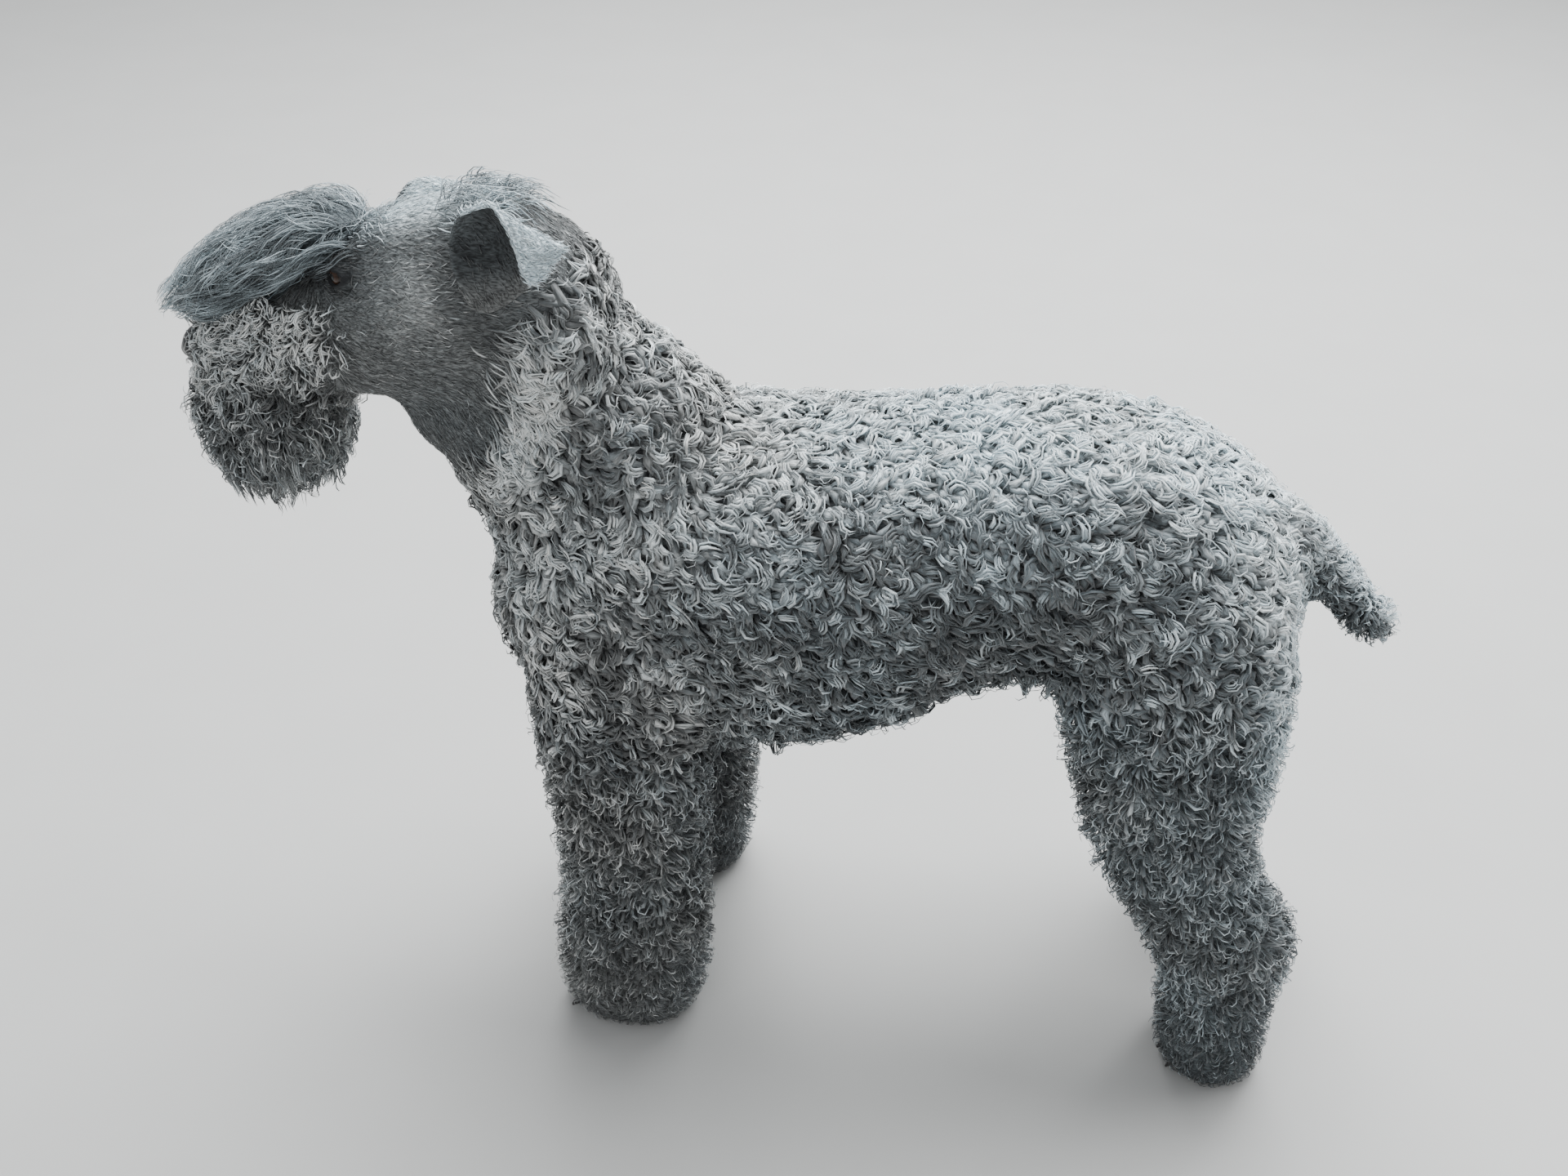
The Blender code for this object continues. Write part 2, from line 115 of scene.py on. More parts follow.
class FaceSettings(bpy.types.PropertyGroup):
    """Sizes and colours in the face."""
    opening_width: a_number("Eye width", "Half width of the gap between the lids", 0.0080)
    opening_height: a_number("Eye height", "Half height of the gap between the lids", 0.0047)
    iris: a_colour("Iris", "Colour of the iris", (0.028, 0.012, 0.006))
    nose: a_colour("Nose", "Colour of nose pad and lips", (0.011, 0.011, 0.012))
    beard_length: a_number("Beard length", "Length of a lock of the beard", 0.046)
    forelock_length: a_number("Forelock length", "Length of a lock of the forelock", 0.050)


class StageSettings(bpy.types.PropertyGroup):
    """Floor and light."""
    floor: a_colour("Floor", "Colour of the floor", (0.56, 0.56, 0.55))
    sky_power: a_number(
        "Overhead light", "Power of the big light above and behind", 219.0, "POWER")
    fill_power: a_number(
        "Fill light", "Power of the light beside the camera", 11.0, "POWER")


# --------------------------------------------------------------- array tools
def unit(rows):
    """Rows divided by their lengths."""
    return rows / np.maximum(np.linalg.norm(rows, axis=-1, keepdims=True), 1e-12)


def dots(a, b):
    """Dot product row by row, with its axis kept."""
    return (a * b).sum(axis=-1, keepdims=True)


def along_skin(ways, normals):
    """Directions without their share along the normals."""
    return unit(ways - normals * dots(ways, normals))


def ramp(x, low, high):
    """Smooth step from 0 at low to 1 at high."""
    t = np.clip((x - low) / (high - low), 0, 1)
    return t * t * (3 - 2 * t)


def bell(x, middle, reach):
    """1 at the middle, falling away smoothly over a reach."""
    return np.exp(-((x - middle) / reach) ** 2)


def patches(first, second, rows):
    """Soft patches added up: a row has its amount, then middle and reach on two axes."""
    return sum(amount * bell(first, *one) * bell(second, *other)
               for amount, one, other in rows)


def wander(points, size, seed):
    """Smooth noise in -1 to 1: a sum of sines along random directions of about one size."""
    rng = np.random.default_rng(seed)
    total = np.zeros(len(points))
    for _ in range(7):
        wave = unit(rng.normal(size=3)) * (2 * math.pi / size) * rng.uniform(0.6, 1.6)
        total += np.sin(points @ wave + rng.uniform(0, 2 * math.pi))
    return np.clip(total / 3.2, -1, 1)


def once_round(sides):
    """Angles at even steps once round a circle."""
    return np.arange(sides) / sides * 2 * math.pi


def turned(rows, axis, angle):
    """Rows turned about axes by angles, by Rodrigues' rule."""
    angle = angle[:, None]
    return (rows * np.cos(angle) + np.cross(axis, rows) * np.sin(angle)
            + axis * dots(axis, rows) * (1 - np.cos(angle)))


def normals_of(points, triangles):
    """Vertex normals: the area-weighted sum of the normals of the faces round a point."""
    a, b, c = (points[triangles[:, k]] for k in range(3))
    face = np.cross(b - a, c - a)
    total = np.stack([sum(np.bincount(triangles[:, k], face[:, axis], len(points))
                          for k in range(3)) for axis in range(3)], axis=1)
    return unit(total)


def relaxed(values, pairs, steps, pull=0.5):
    """Values moved step by step towards the mean of their neighbours."""
    values = np.array(values, float)
    flat = values.reshape(len(values), -1)
    count = np.maximum(np.bincount(pairs.ravel(), minlength=len(values)), 1)[:, None]
    for _ in range(steps):
        total = np.stack([np.bincount(pairs[:, 0], column[pairs[:, 1]], len(flat))
                          + np.bincount(pairs[:, 1], column[pairs[:, 0]], len(flat))
                          for column in flat.T], axis=1)
        flat = flat + pull * (total / count - flat)
    return flat.reshape(values.shape)


# ------------------------------------------------------------ meshes, pieces
def read(items, key, width, kind=np.float32):
    """One property of every item of a mesh, as rows."""
    values = np.empty(len(items) * width, kind)
    items.foreach_get(key, values)
    return values.reshape(-1, width)


def write(items, key, values, kind=np.float32):
    """One property of every item of a mesh, set from an array."""
    items.foreach_set(key, np.asarray(values, kind).ravel())


def corners_of(mesh):
    """Points and triangles of a mesh as arrays."""
    mesh.calc_loop_triangles()
    return (read(mesh.vertices, "co", 3).astype(float),
            read(mesh.loop_triangles, "vertices", 3, np.int32))


def mesh_from(name, points, triangles):
    """A mesh of triangles from whole arrays."""
    mesh = bpy.data.meshes.new(name)
    mesh.vertices.add(len(points))
    write(mesh.vertices, "co", points)
    mesh.loops.add(triangles.size)
    write(mesh.loops, "vertex_index", triangles, np.int32)
    mesh.polygons.add(len(triangles))
    write(mesh.polygons, "loop_start", np.arange(0, triangles.size, 3), np.int32)
    mesh.update(calc_edges=True)
    mesh.shade_smooth()
    return mesh


def cells(index):
    """Two triangles for each cell of a grid of point numbers."""
    a, b, c, d = index[:-1, :-1], index[:-1, 1:], index[1:, 1:], index[1:, :-1]
    return np.concatenate([np.stack([a, b, c], axis=-1).reshape(-1, 3),
                           np.stack([a, c, d], axis=-1).reshape(-1, 3)])


def closed_rings(points, poles):
    """Points and triangles of rings joined into a tube, with a pole at each end.

    The triangles are turned over if most of them face the middle.
    """
    rings, sides = points.shape[:2]
    index = np.arange(rings * sides).reshape(rings, sides)
    index = np.concatenate([index, index[:, :1]], axis=1)
    here, beside = index[:, :-1], index[:, 1:]
    first, last = (np.full(sides, rings * sides + k) for k in range(2))
    faces = np.concatenate([cells(index), np.stack([beside[0], here[0], first], axis=-1),
                            np.stack([here[-1], beside[-1], last], axis=-1)])
    flat = np.concatenate([points.reshape(-1, 3), poles])
    a, b, c = (flat[faces[:, k]] for k in range(3))
    outwards = dots(np.cross(b - a, c - a), (a + b + c) / 3 - flat.mean(axis=0)).sum() > 0
    return flat, faces if outwards else faces[:, ::-1]


def placed(name, data):
    """An object for some data, linked to the scene."""
    thing = bpy.data.objects.new(name, data)
    bpy.context.scene.collection.objects.link(thing)
    return thing


def show(name, mesh, material):
    """An object for a mesh, at the origin, with its material."""
    mesh.materials.clear()
    mesh.materials.append(material)
    return placed(name, mesh)


def settle(name, mesh, material, slot, *nodes):
    """A piece that rides on the dog and stands for CAD nodes, which it hides. The slot is not
    used.
    """
    thing = show(name, mesh, material)
    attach(thing, "root")
    if nodes:
        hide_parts(*nodes)
    return thing


def need(name):
    """The mesh of a piece that another one is built on."""
    thing = bpy.data.objects.get(name)
    if thing is None:
        raise RuntimeError(f"make the {name} first")
    return thing.data


def applied(thing):
    """The mesh of an object after its modifiers; the object is removed."""
    depsgraph = bpy.context.evaluated_depsgraph_get()
    mesh = bpy.data.meshes.new_from_object(thing.evaluated_get(depsgraph))
    bpy.data.objects.remove(thing, do_unlink=True)
    return mesh


def soft_copy(name, nodes, swell, cell, passes):
    """Merged copies of CAD nodes, swollen a little, fused by a voxel remesh and smoothed."""
    work = bmesh.new()
    for node in nodes:
        work.from_mesh(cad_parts[node].data)
    bmesh.ops.remove_doubles(work, verts=work.verts, dist=1e-5)
    mesh = bpy.data.meshes.new(name)
    work.to_mesh(mesh)
    work.free()
    points, triangles = corners_of(mesh)
    write(mesh.vertices, "co", points + normals_of(points, triangles) * swell)
    thing = placed(name, mesh)
    remesh = thing.modifiers.new("fuse", "REMESH")
    remesh.mode = "VOXEL"
    remesh.voxel_size = cell
    thing.modifiers.new("smooth", "SMOOTH").iterations = passes
    return applied(thing)


def pressed(points, target, offset):
    """Points moved to the nearest place at a height over a surface."""
    mesh = bpy.data.meshes.new("guide")
    mesh.vertices.add(len(points))
    write(mesh.vertices, "co", points)
    guide = placed("guide", mesh)
    press = guide.modifiers.new("press", "SHRINKWRAP")
    press.target = target
    press.wrap_method = "NEAREST_SURFACEPOINT"
    press.wrap_mode = "OUTSIDE_SURFACE"
    press.offset = offset
    return read(applied(guide).vertices, "co", 3).astype(float)


ATTRIBUTES = {"FLOAT": ("value", 1), "FLOAT_VECTOR": ("vector", 3), "FLOAT_COLOR": ("color", 4)}


def store(mesh, name, kind, values):
    """A named attribute on a mesh's points."""
    write(mesh.attributes.new(name, kind, "POINT").data, ATTRIBUTES[kind][0], values)


def stored(mesh, name):
    """Rows of a named attribute."""
    made = mesh.attributes[name]
    return read(made.data, *ATTRIBUTES[made.data_type]).astype(float)


def mark(mesh, lie, depth, shade, tint, bare=0.0):
    """Lie, depth and markings of the coat stored on a mesh's points."""
    store(mesh, "lie", "FLOAT_VECTOR", lie)
    store(mesh, "depth", "FLOAT", np.broadcast_to(depth, len(lie)))
    marks = np.ones((len(lie), 4))
    marks[:, 0], marks[:, 1], marks[:, 2] = shade, tint, bare
    store(mesh, "markings", "FLOAT_COLOR", marks)


# ---------------------------------------------------------------- dog's axes
def middle_of(node):
    """Centre of a CAD node's box."""
    low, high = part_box(node)
    return (np.array(low) + np.array(high)) / 2


EYE_ALONG, EYE_RISE, NOSE_ALONG, NOSE_RISE = 0.115, 0.042, 0.246, 0.010


def head_axes():
    """Origin and axes of the head, rows nose-wards, left and up, from eyes and nose.

    The line from between the eyes to the nose is turned up by the angle that it
    makes with the head's long axis.
    """
    left, right, nose = (middle_of(node) for node in ("eye_left", "eye_right", "nose"))
    across = unit(left - right)
    eyes = (left + right) / 2
    line = nose - eyes
    line = unit(line - across * (line @ across))
    drop = math.atan2(EYE_RISE - NOSE_RISE, NOSE_ALONG - EYE_ALONG)
    square = np.cross(line, across)
    along = math.cos(drop) * line + math.sin(drop) * square
    up = np.cross(along, across)
    origin = eyes - EYE_ALONG * along - EYE_RISE * up
    return origin, np.array([along, across, up])


HEAD_ORIGIN, HEAD_AXES = head_axes()
NOSEWARDS, LEFTWARDS, UPWARDS = HEAD_AXES


def to_head(points):
    """Points in head axes: along the nose, to the dog's left, up."""
    return (points - HEAD_ORIGIN) @ HEAD_AXES.T


def from_head(points):
    """Points in head axes put back in the dog's frame."""
    return np.asarray(points, float) @ HEAD_AXES + HEAD_ORIGIN


TRUNK, NECK, HEAD, TAIL, FORELEG, HINDLEG = range(6)
# A point and a normal for each flat where the flesh was parted.
NECK_PLANE = (np.array((-0.197, 0, 0.534)), unit(np.array((-0.704, 0, 0.710))))
SHOULDER_PLANE = (np.array((-0.117, 0, 0.410)), unit(np.array((-0.659, 0, 0.752))))
TAIL_PLANE = (np.array((0.330, 0, 0.392)), unit(np.array((0.963, 0, 0.270))))
FORELEG_TOP, HINDLEG_TOP = 0.262, 0.335     # heights where the legs meet the trunk
LEGTOP_RAG = 0.016          # how far that height wanders, so that no edge shows
# Directions that the coat lies in on each part; the head's depends on the place.
LIES = np.array(((0.86, 0.0, -0.50), (0.52, 0.0, -0.85), (0.0, 0.0, 0.0),
                 (0.62, 0.0, -0.78), (0.10, 0.0, -1.0), (0.10, 0.0, -1.0)))
SKULL_LIE = np.array((-0.9, 0.0, -0.15)) @ HEAD_AXES
MUZZLE_LIE = np.array((0.35, 0.0, -0.9)) @ HEAD_AXES


def beyond(points, plane):
    """Signed distance of points past a plane."""
    return (points - plane[0]) @ plane[1]


def part_of(points):
    """Which part of the dog each point belongs to."""
    x, y, z = points.T
    part = np.full(len(points), TRUNK)
    part[beyond(points, SHOULDER_PLANE) > 0] = NECK
    part[beyond(points, NECK_PLANE) > 0] = HEAD
    part[(beyond(points, TAIL_PLANE) > -0.004) & (abs(y) < 0.04) & (z > 0.32)] = TAIL
    off_middle = abs(y) > 0.022
    z = z - LEGTOP_RAG * wander(points, 0.030, 31)
    part[off_middle & (x < -0.02) & (z < FORELEG_TOP)] = FORELEG
    part[off_middle & (x > 0.14) & (z < HINDLEG_TOP)] = HINDLEG
    return part


def near_legtop(points):
    """How near each point is to where leg meets trunk, 0 to 1."""
    x, _, z = points.T
    fore = bell(z, FORELEG_TOP, 0.060) * (1 - ramp(x, -0.04, 0.02))
    return fore + bell(z, HINDLEG_TOP, 0.050) * ramp(x, 0.10, 0.16)


def clip_line(z):
    """How far forward the curls begin at each height."""
    return -0.172 - 0.62 * np.clip(0.50 - z, 0, 0.08) + 0.20 * np.clip(z - 0.50, 0, 0.12)


def clipped(points):
    """1 where the coat is clipped short: skull, cheeks and throat; 0 on the curls.

    The line runs down from behind the ear to the breast, further back on top.
    """
    x, _, z = points.T
    line = clip_line(z)
    behind = ramp(x, line - 0.012, line + 0.012)
    return (1 - behind) * ramp(z, 0.395, 0.425)


def coat_depth(points, settings):
    """Depth of the coat over each point, shallow on the face and under the feet."""
    depth = np.array((settings.trunk_depth, settings.neck_depth, settings.clipped_depth,
                      settings.tail_depth, settings.leg_depth, settings.leg_depth))
    depth = depth[part_of(points)]
    short = clipped(points)
    depth = depth * (1 - short) + np.minimum(depth, settings.clipped_depth) * short
    return depth * (0.10 + 0.90 * ramp(points[:, 2], 0.002, 0.045))


def lie_of(points, normals):
    """Direction that the coat lies in at each point, along the skin.

    Back and down on the body, down the legs, back over the skull, forward and
    down on the muzzle, and out along the tail.
    """
    part = part_of(points)
    lie = LIES[part]
    muzzle = ramp(to_head(points)[:, 0], 0.120, 0.150)[:, None]
    on_head = part == HEAD
    lie[on_head] = (SKULL_LIE * (1 - muzzle) + MUZZLE_LIE * muzzle)[on_head]
    lie[:, 1] += 0.12 * np.sign(points[:, 1]) * (points[:, 2] > 0.45)
    return along_skin(lie, normals)


# ----------------------------------------------------------------- materials
def grey(level):
    """A colour with no hue."""
    return (level, level, level)


class Nodes:
    """A material's node tree, with short ways to add and join nodes.

    The settings are constants on the shader's own sockets.
    """

    def __init__(self, name, **settings):
        self.material = bpy.data.materials.new(name)
        self.material.use_nodes = True
        self.tree = self.material.node_tree
        self.shader = self.tree.nodes["Principled BSDF"]
        for key, value in settings.items():
            socket = {"specular": "Specular IOR Level"}.get(key, key.replace("_", " ").title())
            self.shader.inputs[socket].default_value = value

    def add(self, kind, inputs=(), **settings):
        """A node with its settings, and inputs that are values or other sockets."""
        node = self.tree.nodes.new("ShaderNode" + kind)
        for key, value in settings.items():
            setattr(node, key, value)
        for key, value in dict(inputs).items():
            if isinstance(value, bpy.types.NodeSocket):
                self.tree.links.new(value, node.inputs[key])
            else:
                node.inputs[key].default_value = value
        return node

    def colour(self, socket):
        """A socket joined to the shader's colour."""
        self.tree.links.new(socket, self.shader.inputs["Base Color"])

    def place(self):
        """Place in the dog's frame."""
        return self.add("TexCoord").outputs["Object"]

    def layer(self, name):
        """Place on a piece's own unwrap."""
        return self.add("UVMap", uv_map=name).outputs["UV"]

    def marks(self):
        """The coat's markings: red for shade, green for tint, blue for bare skin."""
        marks = self.add("Attribute", attribute_name="markings").outputs["Color"]
        return self.add("SeparateColor", {"Color": marks}).outputs

    def noise(self, vector, scale, detail):
        """Noise between 0 and 1 on a vector.

        A tuple for the scale holds three scales that stretch the vector, and a tilt
        about Y in degrees.
        """
        if isinstance(scale, tuple):
            *scale, tilt = scale
            vector = self.add("Mapping", {"Vector": vector, "Scale": scale,
                                          "Rotation": (0.0, math.radians(tilt), 0.0)}).outputs[0]
            scale = 1.0
        return self.add("TexNoise", {"Scale": scale, "Detail": detail,
                                     "Vector": vector}).outputs["Fac"]

    def ramp(self, factor, *stops):
        """A colour ramp; stops are pairs of place and colour."""
        made = self.add("ValToRGB", {"Fac": factor})
        elements = made.color_ramp.elements
        while len(elements) < len(stops):
            elements.new(0.5)
        for element, (place, colour) in zip(elements, stops):
            element.position = place
            element.color = (*colour, 1.0)
        return made.outputs["Color"]

    def mix(self, factor, first, second, blend="MIX"):
        """Two colours mixed."""
        return self.add("Mix", {0: factor, 6: first, 7: second}, data_type="RGBA",
                        blend_type=blend).outputs[2]

    def times(self, first, second):
        """Two colours multiplied."""
        return self.mix(1.0, first, second, "MULTIPLY")

    def maths(self, operation, first, second):
        """Two numbers put together."""
        return self.add("Math", {0: first, 1: second}, operation=operation).outputs[0]

    def bump(self, height, strength, distance):
        """Bump from a height, joined to the shader."""
        made = self.add("Bump", {"Height": height, "Strength": strength, "Distance": distance})
        self.tree.links.new(made.outputs["Normal"], self.shader.inputs["Normal"])


def coat_colour(nodes, coat):
    """Colour of skin or lock from the coat's markings.

    The shade runs from dark over middle to silver, and the tint from cool to warm.
    """
    marks = nodes.marks()
    colour = nodes.ramp(marks["Red"], (0.0, coat.dark), (0.42, coat.middle), (1.0, coat.silver))
    return nodes.times(colour, nodes.mix(marks["Green"], (*coat.cool, 1), (*coat.warm, 1)))


def coat_material(name, coat, strands=7.0, roughness=0.52):
    """Hair of a lock: colour from the markings, fine strands along the lock."""
    nodes = Nodes(name, roughness=roughness, specular=0.45, sheen_weight=0.35,
                  sheen_roughness=0.45)
    strand = nodes.noise(nodes.layer("Strand"), (strands, 0.9, 1.0, 0.0), 3.0)
    streak = nodes.ramp(strand, (0.30, grey(0.42)), (0.72, grey(1.5)))
    nodes.colour(nodes.times(coat_colour(nodes, coat), streak))
    nodes.bump(strand, 0.7, 0.0006)
    return nodes.material


def skin_material(name):
    """Skin and undercoat: dark between curls, partly the undercoat's own tone and partly painted
    shade; fine short hairs on the clipped parts.
    """
    scene = bpy.context.scene
    nodes = Nodes(name, roughness=0.75, specular=0.25)
    hairs = nodes.noise(nodes.place(), (260.0, 900.0, 900.0, -24.0), 4.0)
    fleck = nodes.ramp(hairs, (0.36, grey(0.35)), (0.66, grey(1.55)))
    hairy = nodes.times(coat_colour(nodes, scene.dog_coat), fleck)
    nodes.colour(nodes.mix(nodes.marks()["Blue"], hairy, (*scene.dog_skin.colour, 1)))
    nodes.bump(hairs, 0.8, 0.0009)
    return nodes.material


def nose_material(colour):
    """Damp pebbled leather."""
    nodes = Nodes("nose_leather", roughness=0.34, specular=0.5, coat_weight=0.25,
                  coat_roughness=0.25)
    pebbles = nodes.add("TexVoronoi", {"Scale": 900.0, "Vector": nodes.place()},
                        feature="SMOOTH_F1").outputs["Distance"]
    pale = tuple(2.6 * c for c in colour)
    nodes.colour(nodes.ramp(pebbles, (0.1, pale), (0.7, colour)))
    nodes.bump(nodes.maths("SUBTRACT", 1.0, pebbles), 0.5, 0.0004)
    return nodes.material


PUPIL, LIMBUS, WHITE_FROM = 0.068, 0.172, 0.180     # angles from the gaze, as shares of pi


def eye_material(iris):
    """Wet eye: pupil, iris with fine spokes, dark rim, dusky white."""
    nodes = Nodes("wet_eye", roughness=0.22, specular=0.25, coat_weight=0.30,
                  coat_roughness=0.05)
    own = nodes.layer("Iris")
    angle = nodes.add("SeparateXYZ", {"Vector": own}).outputs["X"]
    spokes = nodes.noise(own, (3.0, 60.0, 1.0, 0.0), 3.0)
    fibres = nodes.ramp(spokes, (0.35, iris), (0.70, tuple(2.4 * c for c in iris)))
    band = nodes.ramp(angle, (0.0, grey(0.002)), (PUPIL, grey(0.002)), (0.078, grey(1.0)),
                      (0.158, grey(0.8)), (LIMBUS, (0.10, 0.08, 0.07)),
                      (0.192, (0.9, 0.75, 0.62)), (0.30, (0.55, 0.35, 0.28)))
    white = nodes.maths("GREATER_THAN", angle, WHITE_FROM)
    nodes.colour(nodes.times(nodes.mix(white, fibres, (0.045, 0.036, 0.034, 1)), band))
    return nodes.material


def claw_material():
    """Dark horn, streaked along its length."""
    nodes = Nodes("dark_horn", roughness=0.38, specular=0.5)
    grain = nodes.noise(nodes.place(), (120.0, 1400.0, 700.0, 0.0), 3.0)
    nodes.colour(nodes.ramp(grain, (0.3, grey(0.008)), (0.75, (0.045, 0.042, 0.040))))
    nodes.bump(grain, 0.3, 0.0002)
    return nodes.material


def floor_material(colour):
    """Matt pale board."""
    nodes = Nodes("pale_floor", roughness=0.85, specular=0.2)
    mottle = nodes.noise(nodes.place(), 9.0, 4.0)
    nodes.colour(nodes.ramp(mottle, (0.3, tuple(0.97 * c for c in colour)), (0.7, colour)))
    return nodes.material


# ------------------------------------------------------------------ markings
# Patches on the body, by place along and up: pale shoulder, and painted shade on the flank where
# the belly tucks up to the thigh.
BODY_PATCHES = ((0.25, (-0.14, 0.07), (0.37, 0.09)), (-0.17, (0.108, 0.032), (0.375, 0.040)))
# Patches on the face, in head axes along and up: pale cheek, and a dark hollow before the eye,
# partly darker hair and partly painted shade under the brow.
FACE_PATCHES = ((0.22, (0.072, 0.030), (0.022, 0.025)), (-0.34, (0.136, 0.034), (0.044, 0.014)))
# Patches on the head's sides only: dark under the ear, pale close before it.
EAR_PATCHES = ((-0.16, (0.030, 0.015), (-0.006, 0.016)), (0.20, (0.018, 0.012), (0.021, 0.006)))
# Patch at the sides of the brow: dark round the eye, partly darker hair and partly painted shade
# under the brow.
SOCKET_PATCH = ((-0.36, (0.115, 0.014), (0.051, 0.013)),)


def body_shade(points, normals):
    """Shade of body and legs. Painted light: paler where the coat faces up, on the rump where it
    faces back, and down the back of the hind legs. Painted shade: where the coat faces down,
    behind the elbow, in the tuck-up and on the legs' inner sides. Darker on the feet.
    """
    x, y, z = points.T
    part = part_of(points)
    backward, leftward, upward = normals.T
    shade = 0.39 + 0.09 * wander(points, 0.075, 5) + 0.10 * wander(points, 0.028, 6)
    # painted light: the coat is paler where it faces up, most on the back towards the rump
    top = ramp(0.99 * upward + 0.15 * leftward, 0.55, 0.92) * (z > 0.30)
    shade += 0.50 * top * (0.44 + 0.56 * ramp(x, -0.06, 0.20))
    shade += 0.09 * ramp(upward, 0.05, 0.55) * (z > 0.30)
    shade += patches(x, z, BODY_PATCHES)
    # painted shadow in the groove behind the elbow, between foreleg and chest
    elbow_shadow = bell(x, -0.110 - 0.127 * (z - 0.285), 0.015)
    shade -= 0.24 * elbow_shadow * ramp(z, 0.20, 0.28) * (1 - ramp(z, 0.34, 0.43)) * (abs(y) > 0.02)
    # painted light on the rump where its coat faces back
    shade += 0.48 * ramp(backward, 0.30, 0.85) * ramp(x, 0.22, 0.29) * ramp(z, 0.20, 0.34)
    # painted shade where the coat faces down
    shade -= 0.15 * ramp(-upward, 0.0, 0.7)
    # painted shade on the inner sides of the legs; the legs' coat is otherwise a little paler
    inward_shade = ramp(-leftward * np.sign(y), 0.1, 0.7)
    shade += (part >= FORELEG) * (0.05 - 0.17 * inward_shade)
    # painted highlight, a sheen down the back of the hind legs
    shade += 0.16 * (part == HINDLEG) * ramp(backward, 0.3, 0.9) * ramp(z, 0.10, 0.20)
    return shade - 0.05 * ramp(-z, -0.05, 0.0) - 0.14 * (x > 0) * ramp(-z, -0.11, -0.04)


def face_shade(points):
    """Shade of skull, face and throat: pale cheek; painted light on the top of the skull; painted
    shadow close before the ear, and darker under it; dark round the eye, partly darker hair and
    partly painted shade under the brow.
    """
    along, aside, rise = to_head(points).T
    outer = ramp(abs(aside), 0.030, 0.045)
    # painted light: the top of the skull is paler
    skull = ramp(rise, 0.052, 0.073) * (1 - ramp(along, 0.100, 0.125))
    shade = 0.39 + 0.50 * skull + patches(along, rise, FACE_PATCHES)
    # painted shadow on the skin close before the ear
    ear_shadow = 0.24 * bell(along, 0.043, 0.011) * ramp(rise, -0.01, 0.02)
    shade += outer * (patches(along, rise, EAR_PATCHES) - ear_shadow)
    # darker hair and painted shade round the eye
    shade += ramp(abs(aside), 0.020, 0.030) * patches(along, rise, SOCKET_PATCH)
    return shade - 0.10 * ramp(-rise, 0.02, 0.06) + 0.04 * wander(points, 0.02, 7)


def base_shade(points, normals):
    """Shade of the coat, 0 dark to 1 silver, with a pale band behind the clipped cheek."""
    x, _, z = points.T
    part = part_of(points)
    front = (part == HEAD) | ((part == NECK) & (clipped(points) > 0.5))
    shade = np.where(front, face_shade(points), body_shade(points, normals))
    band = bell(x, clip_line(z) + 0.016, 0.019) * ramp(z, 0.42, 0.47) * (1 - ramp(z, 0.55, 0.58))
    return np.clip(shade + 0.56 * band * (part != HEAD), 0.03, 1.0)


def warmth(points):
    """Tint of the coat, 0 cool to 1 warm: warm on shoulder, throat and face."""
    x = points[:, 0]
    skull = ramp(-x, 0.17, 0.20) * ramp(to_head(points)[:, 2], 0.05, 0.07)
    front = 1 - ramp(x, -0.10, 0.06) - skull
    return np.clip(0.28 + 0.45 * front + 0.18 * wander(points, 0.11, 8), 0, 1)


# --------------------------------------------------------------------- skin
LID = 0.0017                # thickness of an eyelid over the eyeball
EYE_SINK = 0.0022           # how far the skin lies under the eyeball's front
LID_TILT = 0.10             # how much the gap between the lids rises towards the nose
LIDS_END = (0.0092, 0.0160) # distances from the gaze over which lids pass into the skin
SOCKET = 0.018              # reach of the sculpted skin round the gaze
SOCKET_HEIGHTS = (-0.012, 0.016)            # and along it, from the eye's centre
RIM, FOLD = 0.0007, 0.0009  # height of the lids' rims, depth of the fold over them
EYE_SIDES = (("eye_left", 1), ("eye_right", -1))


def gaze(side):
    """Direction that an eye looks in, in head axes, and its nose-ward and upward axes."""
    out = unit(np.array((0.60, side * 0.80, 0.10)))
    nose_ward = unit(np.array((0.80, -side * 0.60, 0.0)))
    return out, nose_ward, unit(np.cross(nose_ward, out) * side)


def eye_centre(node):
    """Centre and radius of an eye."""
    low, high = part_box(node)
    return middle_of(node), float(np.mean(np.array(high) - np.array(low))) / 2


def seen_by(node, side, head):
    """Places nose-ward, upward and outward of an eye's centre, for points in head axes."""
    centre, _ = eye_centre(node)
    out, nose_ward, up = gaze(side)
    q = head - to_head(centre[None])[0]
    return q @ nose_ward, q @ up, q @ out


def almond(across, upward, face):
    """A tilted superellipse, 1 on the edge of the gap between the lids and less within."""
    upward = upward - LID_TILT * across
    return ((abs(across) / face.opening_width) ** 1.7
            + (abs(upward) / face.opening_height) ** 1.7)


def on_lips(head, reach):
    """1 along the line between the lips, falling away over a reach above and below it."""
    along, _, rise = head.T
    line = -0.020 - 0.10 * np.clip(0.20 - along, 0, 0.06)
    return bell(rise, line, reach) * ramp(along, 0.205, 0.220)


